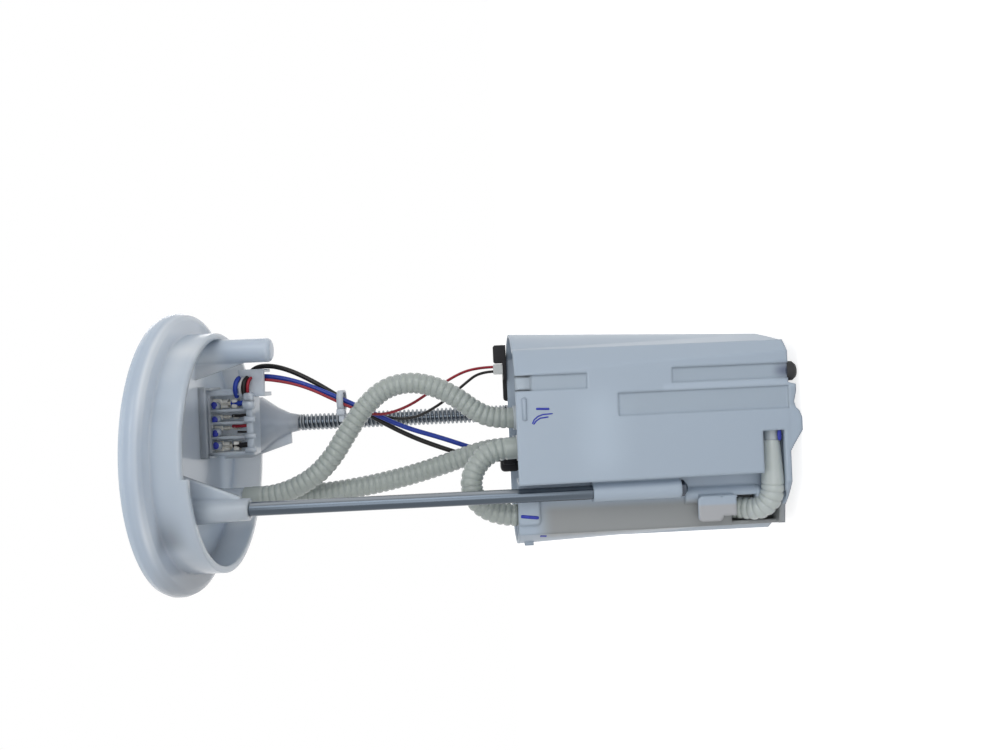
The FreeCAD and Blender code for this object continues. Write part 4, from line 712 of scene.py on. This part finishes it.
def crimp_outline(x, width, wing):
    """An open barrel seen along it: a round back and two wings that curl in towards the near side."""
    half = width / 2
    wall = CRIMP_WALL
    depth = CRIMP_DEPTH * half
    outside = []
    inside = []
    for i in range(CRIMP_STEPS + 1):
        angle = math.pi * i / CRIMP_STEPS
        c, s = math.cos(angle), math.sin(angle)
        outside.append((x + half * c, TERMINAL_Y + depth * s))
        inside.append((x + (half - wall) * c, TERMINAL_Y + (depth - wall) * s))
    tip = TERMINAL_Y - wing
    left = [(x - half, tip + 0.8), (x - half + 0.4, tip), (x - 0.35 * half, tip - 0.5),
            (x - 0.1 * half, tip + 0.6)]
    left_inside = [(x - 0.3 * half, tip + 0.5), (x - half + wall + 0.3, tip + 0.9)]
    right = [(2 * x - a, b) for a, b in left]
    right_inside = [(2 * x - a, b) for a, b in left_inside]
    return outside + left + left_inside + inside[::-1] + right_inside[::-1] + right[::-1]


def make_terminals():
    """Each node's pins with their necks and two rows of crimps."""
    near, far = TERMINAL_Y - HALF_PLATE, TERMINAL_Y + HALF_PLATE
    for owner, pins in TERMINALS.items():
        bm = bmesh.new()
        for x, width in pins:
            pin, neck = 0.5 * width, 0.15 * width
            block(bm, (x - pin, near, PIN_LOW), (x + pin, far, TERMINAL_HIGH), 0.3)
            block(bm, (x - neck, near, CRIMP_LOW), (x + neck, far, PIN_LOW + 0.6), 0.2)
            for share, wing, low, high in CRIMPS:
                strip(bm, crimp_outline(x, width * share, wing * width), low, high)
        piece = finished(owner + "_crimps", bm, terminal_tin, FLANGE, smooth=False)
        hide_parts(owner)


# Places and sizes in the tower: pegs with the lean of their ink, sleeves, a pad and the ribs at its foot
PEGS = [(20.9, 0.6), (14.5, 0.0), (8.4, -0.4), (2.0, 0.2)]
PEG_PROFILE = [(2.1, 267.0), (2.1, 263.4), (1.7, 262.6), (0.9, 262.1), (0.0, 262.0)]
PEG_Y = 9.6
DAB_PROFILE = [(0.0, -1.55), (0.6, -1.3), (1.0, -0.6), (1.1, 0.2), (0.8, 1.0), (0.0, 1.5)]
DAB_Y, DAB_Z = 7.75, 264.5
SLEEVES = [(21.2, 2.6), (14.2, 1.7), (6.2, 1.5), (-0.4, 1.5)]
SLEEVE_PROFILE = [(1.0, 250.0), (1.0, 246.6), (0.8, 245.3), (0.5, 244.9), (0.0, 244.9)]
SLEEVE_Y = 6.6
PAD = ((22.6, 4.7, 244.9), (27.0, 7.4, 249.8))
FOOT_RIBS = [((-3.5, 2.6, 266.5), (30.5, 4.2, 271.0), 0.7), ((-3.5, 4.0, 264.5), (-2.4, 19.0, 271.0), 0.5),
             ((28.8, 4.0, 264.5), (29.9, 19.0, 271.0), 0.5)]


def make_pegs():
    """Milky posts at the closed end of the tower's window, each with a dab of ink."""
    posts = bmesh.new()
    dabs = bmesh.new()
    for x, lean in PEGS:
        turned(posts, PEG_PROFILE, (x, PEG_Y, 0), sides=24)
        turned(dabs, DAB_PROFILE, (x + lean, DAB_Y, DAB_Z), sides=20, around=(1.6, 0.35))
    finished("window_pegs", posts, peg_plastic, FLANGE)
    finished("peg_ink", dabs, ink_blue, FLANGE)


def make_sleeves():
    """Small sleeves and a pad at the tower's lower edge, where the leads leave the window."""
    bm = bmesh.new()
    for x, radius in SLEEVES:
        profile = [(share * radius, level) for share, level in SLEEVE_PROFILE]
        turned(bm, profile, (x, SLEEVE_Y, 0), sides=24)
    block(bm, *PAD, 1.0, segments=4)
    finished("wire_boots", bm, peg_plastic, FLANGE)


def make_foot_ribs():
    """A rib on the inner floor along the tower's near side and a step at each end of its foot."""
    bm = bmesh.new()
    for low, high, round_by in FOOT_RIBS:
        block(bm, low, high, round_by)
    finished("tower_foot_ribs", bm, flange_plastic, FLANGE)


def make_lead(name, route, radius, finish):
    lead = make_wire_skin(name, route, radius, spacing=0.5, material=finish)
    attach(lead, FLANGE)


# Name, place (along x for the bared ends, along z for the loops), finish, slot and radius
BARED_ENDS = [("supply_lead", 22.0, wire_blue, "wire_blue", 1.25),
              ("signal_lead", 16.0, wire_black, "wire_black", 0.8),
              ("sender_lead", 11.0, wire_red, "wire_red", 0.8),
              ("ground_lead", 1.8, wire_black, "wire_black", 1.25)]
SPARE_ROUTE = [(8.2, 10.4, 254.4), (8.2, 9.0, 252.6), (8.2, 8.8, 250.6), (8.2, 9.2, 248.4)]
LOOPS = [("blue_loop", 253.2, wire_blue, "wire_blue", 1.15),
         ("white_loop", 251.0, wire_white, "plug_white", 0.6),
         ("black_loop", 249.3, wire_black, "wire_black", 1.1),
         ("red_loop", 247.4, wire_red, "wire_red", 0.75)]


def make_leads():
    """The short bared ends in the crimps and the loops that pass the clip."""
    for name, x, finish, slot, radius in BARED_ENDS:
        route = [(x, 11.4, 257.2), (x, 11.0, 254.8), (x, 9.0, 252.4), (x + 0.3, 8.6, 250.2),
                 (x + 0.3, 9.0, 248.0)]
        make_lead(name, route, radius, finish)
    make_lead("spare_lead", SPARE_ROUTE, 0.5, wire_black)
    for name, z, finish, slot, radius in LOOPS:
        route = [(25.4, 8.2, z + 0.4), (27.0, 5.8, z + 0.4), (30.0, 4.6, z), (32.8, 5.0, z - 0.6),
                 (34.6, 7.6, z - 1.6), (34.2, 10.4, z - 3.0)]
        make_lead(name, route, radius, finish)


TIE_WIDTH = 3.0
TIE_WALL = 1.1
TIE_STEPS = 40
TIE_SQUARENESS = 0.75

# The head and the cut tail: two corners from the middle of the strap's low side, and the rounding
TIE_BLOCKS = [((-1.9, -4.8, -2.1), (1.3, -0.2, 2.1), 0.7), ((-5.2, -3.4, -1.5), (-1.4, -2.4, 1.2), 0.35)]


def make_tie():
    """A strap round the wires with its head and its cut tail."""
    low = Vector(low_corner("cable_tie")) / MM
    high = Vector(high_corner("cable_tie")) / MM
    middle = (low + high) / 2
    outlines = []
    for inset in (0.0, TIE_WALL):
        across = (high.x - low.x) / 2 - inset
        along = (high.y - low.y) / 2 - inset
        outline = []
        for i in range(TIE_STEPS):
            angle = 2 * math.pi * i / TIE_STEPS
            c, s = math.cos(angle), math.sin(angle)
            outline.append((middle.x + across * math.copysign(abs(c) ** TIE_SQUARENESS, c),
                            middle.y + along * math.copysign(abs(s) ** TIE_SQUARENESS, s)))
        outlines.append(outline)
    outer, inner = outlines
    bottom, top = middle.z - TIE_WIDTH / 2, middle.z + TIE_WIDTH / 2
    bm = bmesh.new()
    rings = [[bm.verts.new(mm(x, y, z)) for x, y in outline]
             for outline, z in ((outer, bottom), (outer, top), (inner, top), (inner, bottom))]
    for ring, following in zip(rings, rings[1:] + rings[:1]):
        walled(bm, ring, following)
    low_side = (low.x, middle.y, middle.z)
    for start, end, round_by in TIE_BLOCKS:
        block(bm, [a + b for a, b in zip(low_side, start)], [a + b for a, b in zip(low_side, end)], round_by)
    tie = finished("cable_tie_strap", bm, tie_nylon, FLANGE)
    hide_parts("cable_tie")


make_terminals()
make_pegs()
make_sleeves()
make_foot_ribs()
make_leads()
make_tie()


# Marks and small mouldings on the reservoir

BEFORE_PART = -300


def near_wall(x, z):
    """The point and outward direction of the reservoir where a line from the near side meets it."""
    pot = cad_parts["reservoir_pot"]
    _, place, normal, _ = pot.ray_cast(mm(x, BEFORE_PART, z), Vector((0, 1, 0)))
    return place, normal


STROKE_STEPS = 24
STROKE_TIP = 0.7
STROKE_GROWTH = 4.0
INK_ABOVE = 0.03
INK_BELOW = 0.05


def ink_stroke(bm, route, width):
    """A thin layer of ink along points of x and z on the near side, narrower at its ends."""
    last = len(route) - 1
    rows = [[], [], [], []]
    for i in range(STROKE_STEPS + 1):
        share = last * i / STROKE_STEPS
        k = min(int(share), last - 1)
        start, end = Vector(route[k]), Vector(route[k + 1])
        here = start.lerp(end, share - k)
        run = (end - start).normalized()
        from_end = min(i, STROKE_STEPS - i) / STROKE_STEPS
        half = 0.5 * width * min(1.0, STROKE_TIP + STROKE_GROWTH * from_end)
        left, left_out = near_wall(here.x + run.y * half, here.y - run.x * half)
        right, right_out = near_wall(here.x - run.y * half, here.y + run.x * half)
        corners = (left + left_out * INK_ABOVE * MM, right + right_out * INK_ABOVE * MM,
                   right - right_out * INK_BELOW * MM, left - left_out * INK_BELOW * MM)
        for row, corner in zip(rows, corners):
            row.append(bm.verts.new(corner))
    for row, following in zip(rows, rows[1:] + rows[:1]):
        for i in range(STROKE_STEPS):
            bm.faces.new((row[i], row[i + 1], following[i + 1], following[i]))
    for i in (0, STROKE_STEPS):
        bm.faces.new([row[i] for row in rows])


INK_STROKES = [
    ([(15.4, 114.6), (15.1, 108.9)], 1.0),
    ([(9.2, 116.4), (11.0, 115.4), (12.2, 113.9), (12.9, 111.8), (13.1, 107.6)], 0.6),
    ([(8.9, 115.9), (10.4, 114.6), (11.4, 113.0), (11.8, 109.4)], 0.6),
    ([(-31.9, 122.0), (-32.9, 114.2)], 1.5),
    ([(-42.0, 113.6), (-42.4, 110.6)], 1.2),
]
JET_DAB = [(0.0, -2.6), (0.7, -2.0), (0.95, 0.0), (0.7, 2.0), (0.0, 2.6)]
JET_DAB_PLACE = (-0.8, -37.6, 9.5)


def make_marks():
    """The pen strokes on the near wall and the dab on the jet nozzle."""
    bm = bmesh.new()
    for route, width in INK_STROKES:
        ink_stroke(bm, route, width)
    turned(bm, JET_DAB, JET_DAB_PLACE, axis="x", sides=24, around=(0.3, 1.0))
    finished("ink_marks", bm, ink_blue, RESERVOIR)


CAPSULE_STEPS = 32
CAPSULE_LEVELS = (0.0, 0.35, 0.7, 0.92, 1.0)
CAPSULE_ROOT = 0.1
CAPSULE_FLAT = 0.12


def capsule(bm, start, end, z, radius, rise):
    """A raised bar with round ends across the near wall, its foot a little inside the wall."""
    rings = []
    for level in CAPSULE_LEVELS:
        ring = []
        reach = radius * math.sqrt(max(0.0, 1 - level ** 2)) if level < 1 else CAPSULE_FLAT * radius
        height = rise * level - CAPSULE_ROOT * (level == 0)
        for i in range(CAPSULE_STEPS):
            angle = 2 * math.pi * i / CAPSULE_STEPS
            x = (end if math.cos(angle) > 0 else start) + reach * math.cos(angle)
            place, normal = near_wall(x, z + reach * math.sin(angle))
            ring.append(bm.verts.new(place + normal * height * MM))
        rings.append(ring)
    for ring, following in zip(rings, rings[1:]):
        walled(bm, ring, following)
    bm.faces.new(rings[-1])
    bm.faces.new(rings[0])


GUIDE_END = [(0.0, 13.6), (1.5, 13.9), (2.7, 14.9), (3.4, 16.4), (3.65, 18.0)]
GUIDE_AXIS = (-26.6, -27.6, 0)
CONNECTOR_BLOCKS = [((-18.4, 17.6, 118.9), (-5.8, 26.0, 128.4), 2.2, 4),
                    ((-14.5, 16.4, 121.0), (-9.5, 18.2, 127.2), 0.6, 3)]


def make_mouldings():
    """The raised bar below the rim and the round end of the front rod's guide."""
    bm = bmesh.new()
    capsule(bm, start=11.6, end=19.3, z=119.4, radius=1.15, rise=0.7)
    finished("wall_nub", bm, reservoir_plastic, RESERVOIR)
    bm = bmesh.new()
    turned(bm, GUIDE_END, GUIDE_AXIS, sides=40)
    finished("guide_end", bm, reservoir_plastic, RESERVOIR)


def make_connector_shell():
    """The wire connector's rounded shell with its latch."""
    bm = bmesh.new()
    for low, high, round_by, segments in CONNECTOR_BLOCKS:
        block(bm, low, high, round_by, segments)
    shell = finished("connector_shell", bm, black_plastic, RESERVOIR)
    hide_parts("pump_connector")


HINGE = (22.0, 88.0)
TRACK_LEVELS = (36.78, 36.92)
TRACKS = [(10.2, 1.0), (13.4, 1.6)]
TRACK_START, TRACK_END = -84, -22
ARC_STEPS = 24
BARS = 16
BAR_START, BAR_STEP = -82, 3.8
BAR_INSIDE, BAR_OUTSIDE, BAR_HALF = 14.4, 17.4, 0.16
LEADS_TO_PADS = [(31.3, 84.0), (34.2, 82.8)]
LEAD_HALF = 0.25
PAD_LOW, PAD_HIGH, PAD_HALF = 96.5, 101.2, 0.9
CARD_INSIDE = ((19.0, 65.4), (35.6, 101.6))


def round_hinge(reach, angle, aside=0.0):
    """A point of x and z at a distance from the hinge, moved aside of the line to it."""
    c, s = math.cos(angle), math.sin(angle)
    return HINGE[0] + reach * c - aside * s, HINGE[1] + reach * s + aside * c


def arc_band(radius, width, start, end):
    """A closed outline of x and z: a band round the hinge between two angles in degrees."""
    angles = [math.radians(start + (end - start) * i / ARC_STEPS) for i in range(ARC_STEPS + 1)]
    inner, outer = ([round_hinge(reach, angle) for angle in angles]
                    for reach in (radius - width / 2, radius + width / 2))
    return inner + outer[::-1]


def oblong(x, half, low, high):
    return [(x - half, low), (x + half, low), (x + half, high), (x - half, high)]


def make_card_tracks():
    """Printed tracks of the level sender: two arcs round the hinge, short bars, leads and pads."""
    outlines = [arc_band(radius, width, TRACK_START, TRACK_END) for radius, width in TRACKS]
    (left, bottom), (right, top) = CARD_INSIDE
    for i in range(BARS):
        angle = math.radians(BAR_START + BAR_STEP * i)
        bar = [round_hinge(BAR_INSIDE, angle, -BAR_HALF), round_hinge(BAR_OUTSIDE, angle, -BAR_HALF),
               round_hinge(BAR_OUTSIDE, angle, BAR_HALF), round_hinge(BAR_INSIDE, angle, BAR_HALF)]
        if all(left < x < right and bottom < z < top for x, z in bar):
            outlines.append(bar)
    for x, foot in LEADS_TO_PADS:
        outlines += [oblong(x, PAD_HALF, PAD_LOW, PAD_HIGH), oblong(x, LEAD_HALF, foot, PAD_LOW + 0.3)]
    bm = bmesh.new()
    for outline in outlines:
        strip(bm, outline, *TRACK_LEVELS, axis="y")
    finished("card_tracks", bm, track_ink, RESERVOIR, smooth=False)


make_marks()
make_mouldings()
make_connector_shell()
make_card_tracks()


# Stage

FLOOR_SIZE = 6.0
FLOOR_GREY = 0.6
FLOOR_LIGHT = 0.75


def seen_straight(tree):
    """One for rays from the camera, from a gloss or through a body, nought for those that only light."""
    rays = node(tree, "ShaderNodeLightPath").outputs
    mirrored = sums(tree, "MAXIMUM", rays["Is Glossy Ray"], rays["Is Transmission Ray"])
    return sums(tree, "MAXIMUM", rays["Is Camera Ray"], mirrored)


def make_floor():
    bm = bmesh.new()
    bmesh.ops.create_grid(bm, x_segments=2, y_segments=2, size=FLOOR_SIZE / 2)
    mesh = bpy.data.meshes.new("floor")
    bm.to_mesh(mesh)
    bm.free()
    floor = placed("floor", mesh)
    material, tree, shader = base_material("floor_white")
    shader.inputs["Base Color"].default_value = (FLOOR_GREY, FLOOR_GREY, FLOOR_GREY, 1)
    shader.inputs["Roughness"].default_value = 0.9
    shader.inputs["Specular IOR Level"].default_value = 0.0
    light = sums(tree, "MULTIPLY", seen_straight(tree), FLOOR_LIGHT)
    plain = node(tree, "ShaderNodeEmission", Color=(1, 1, 1, 1), Strength=light)
    both = node(tree, "ShaderNodeAddShader")
    tree.links.new(shader.outputs[0], both.inputs[0])
    tree.links.new(plain.outputs[0], both.inputs[1])
    tree.links.new(both.outputs[0], tree.nodes["Material Output"].inputs["Surface"])
    mesh.materials.append(material)


WORLD_FILL = 0.68


def make_world():
    world = bpy.data.worlds.new("studio")
    bpy.context.scene.world = world
    world.use_nodes = True
    tree = world.node_tree
    background = tree.nodes["Background"]
    background.inputs["Color"].default_value = (1, 1, 1, 1)
    strength = node(tree, "ShaderNodeMapRange", Value=seen_straight(tree))
    strength.inputs["To Min"].default_value = WORLD_FILL
    strength.inputs["To Max"].default_value = 1.0
    tree.links.new(strength.outputs[0], background.inputs["Strength"])


LAMP_AIM = mm(0, 0, 140)
# Name, place in metres, side in metres and power in watts
LAMPS = [("key_lamp", (0.6, -0.85, 0.3), 0.5, 2.2), ("front_lamp", (0.05, -1.1, 0.2), 0.6, 2.2),
         ("back_lamp", (0.2, 1.0, 0.9), 0.9, 2.0), ("top_lamp", (0.1, -0.3, 1.2), 0.7, 1.0)]


def make_lamps():
    for name, place, size, power in LAMPS:
        lamp = bpy.data.lights.new(name, "AREA")
        lamp.shape = "SQUARE"
        lamp.size = size
        lamp.energy = power
        thing = placed(name, lamp)
        thing.location = place
        thing.rotation_euler = (LAMP_AIM - Vector(place)).to_track_quat("-Z", "Y").to_euler()


make_floor()
make_world()
make_lamps()
bpy.context.scene.view_settings.view_transform = "Standard"
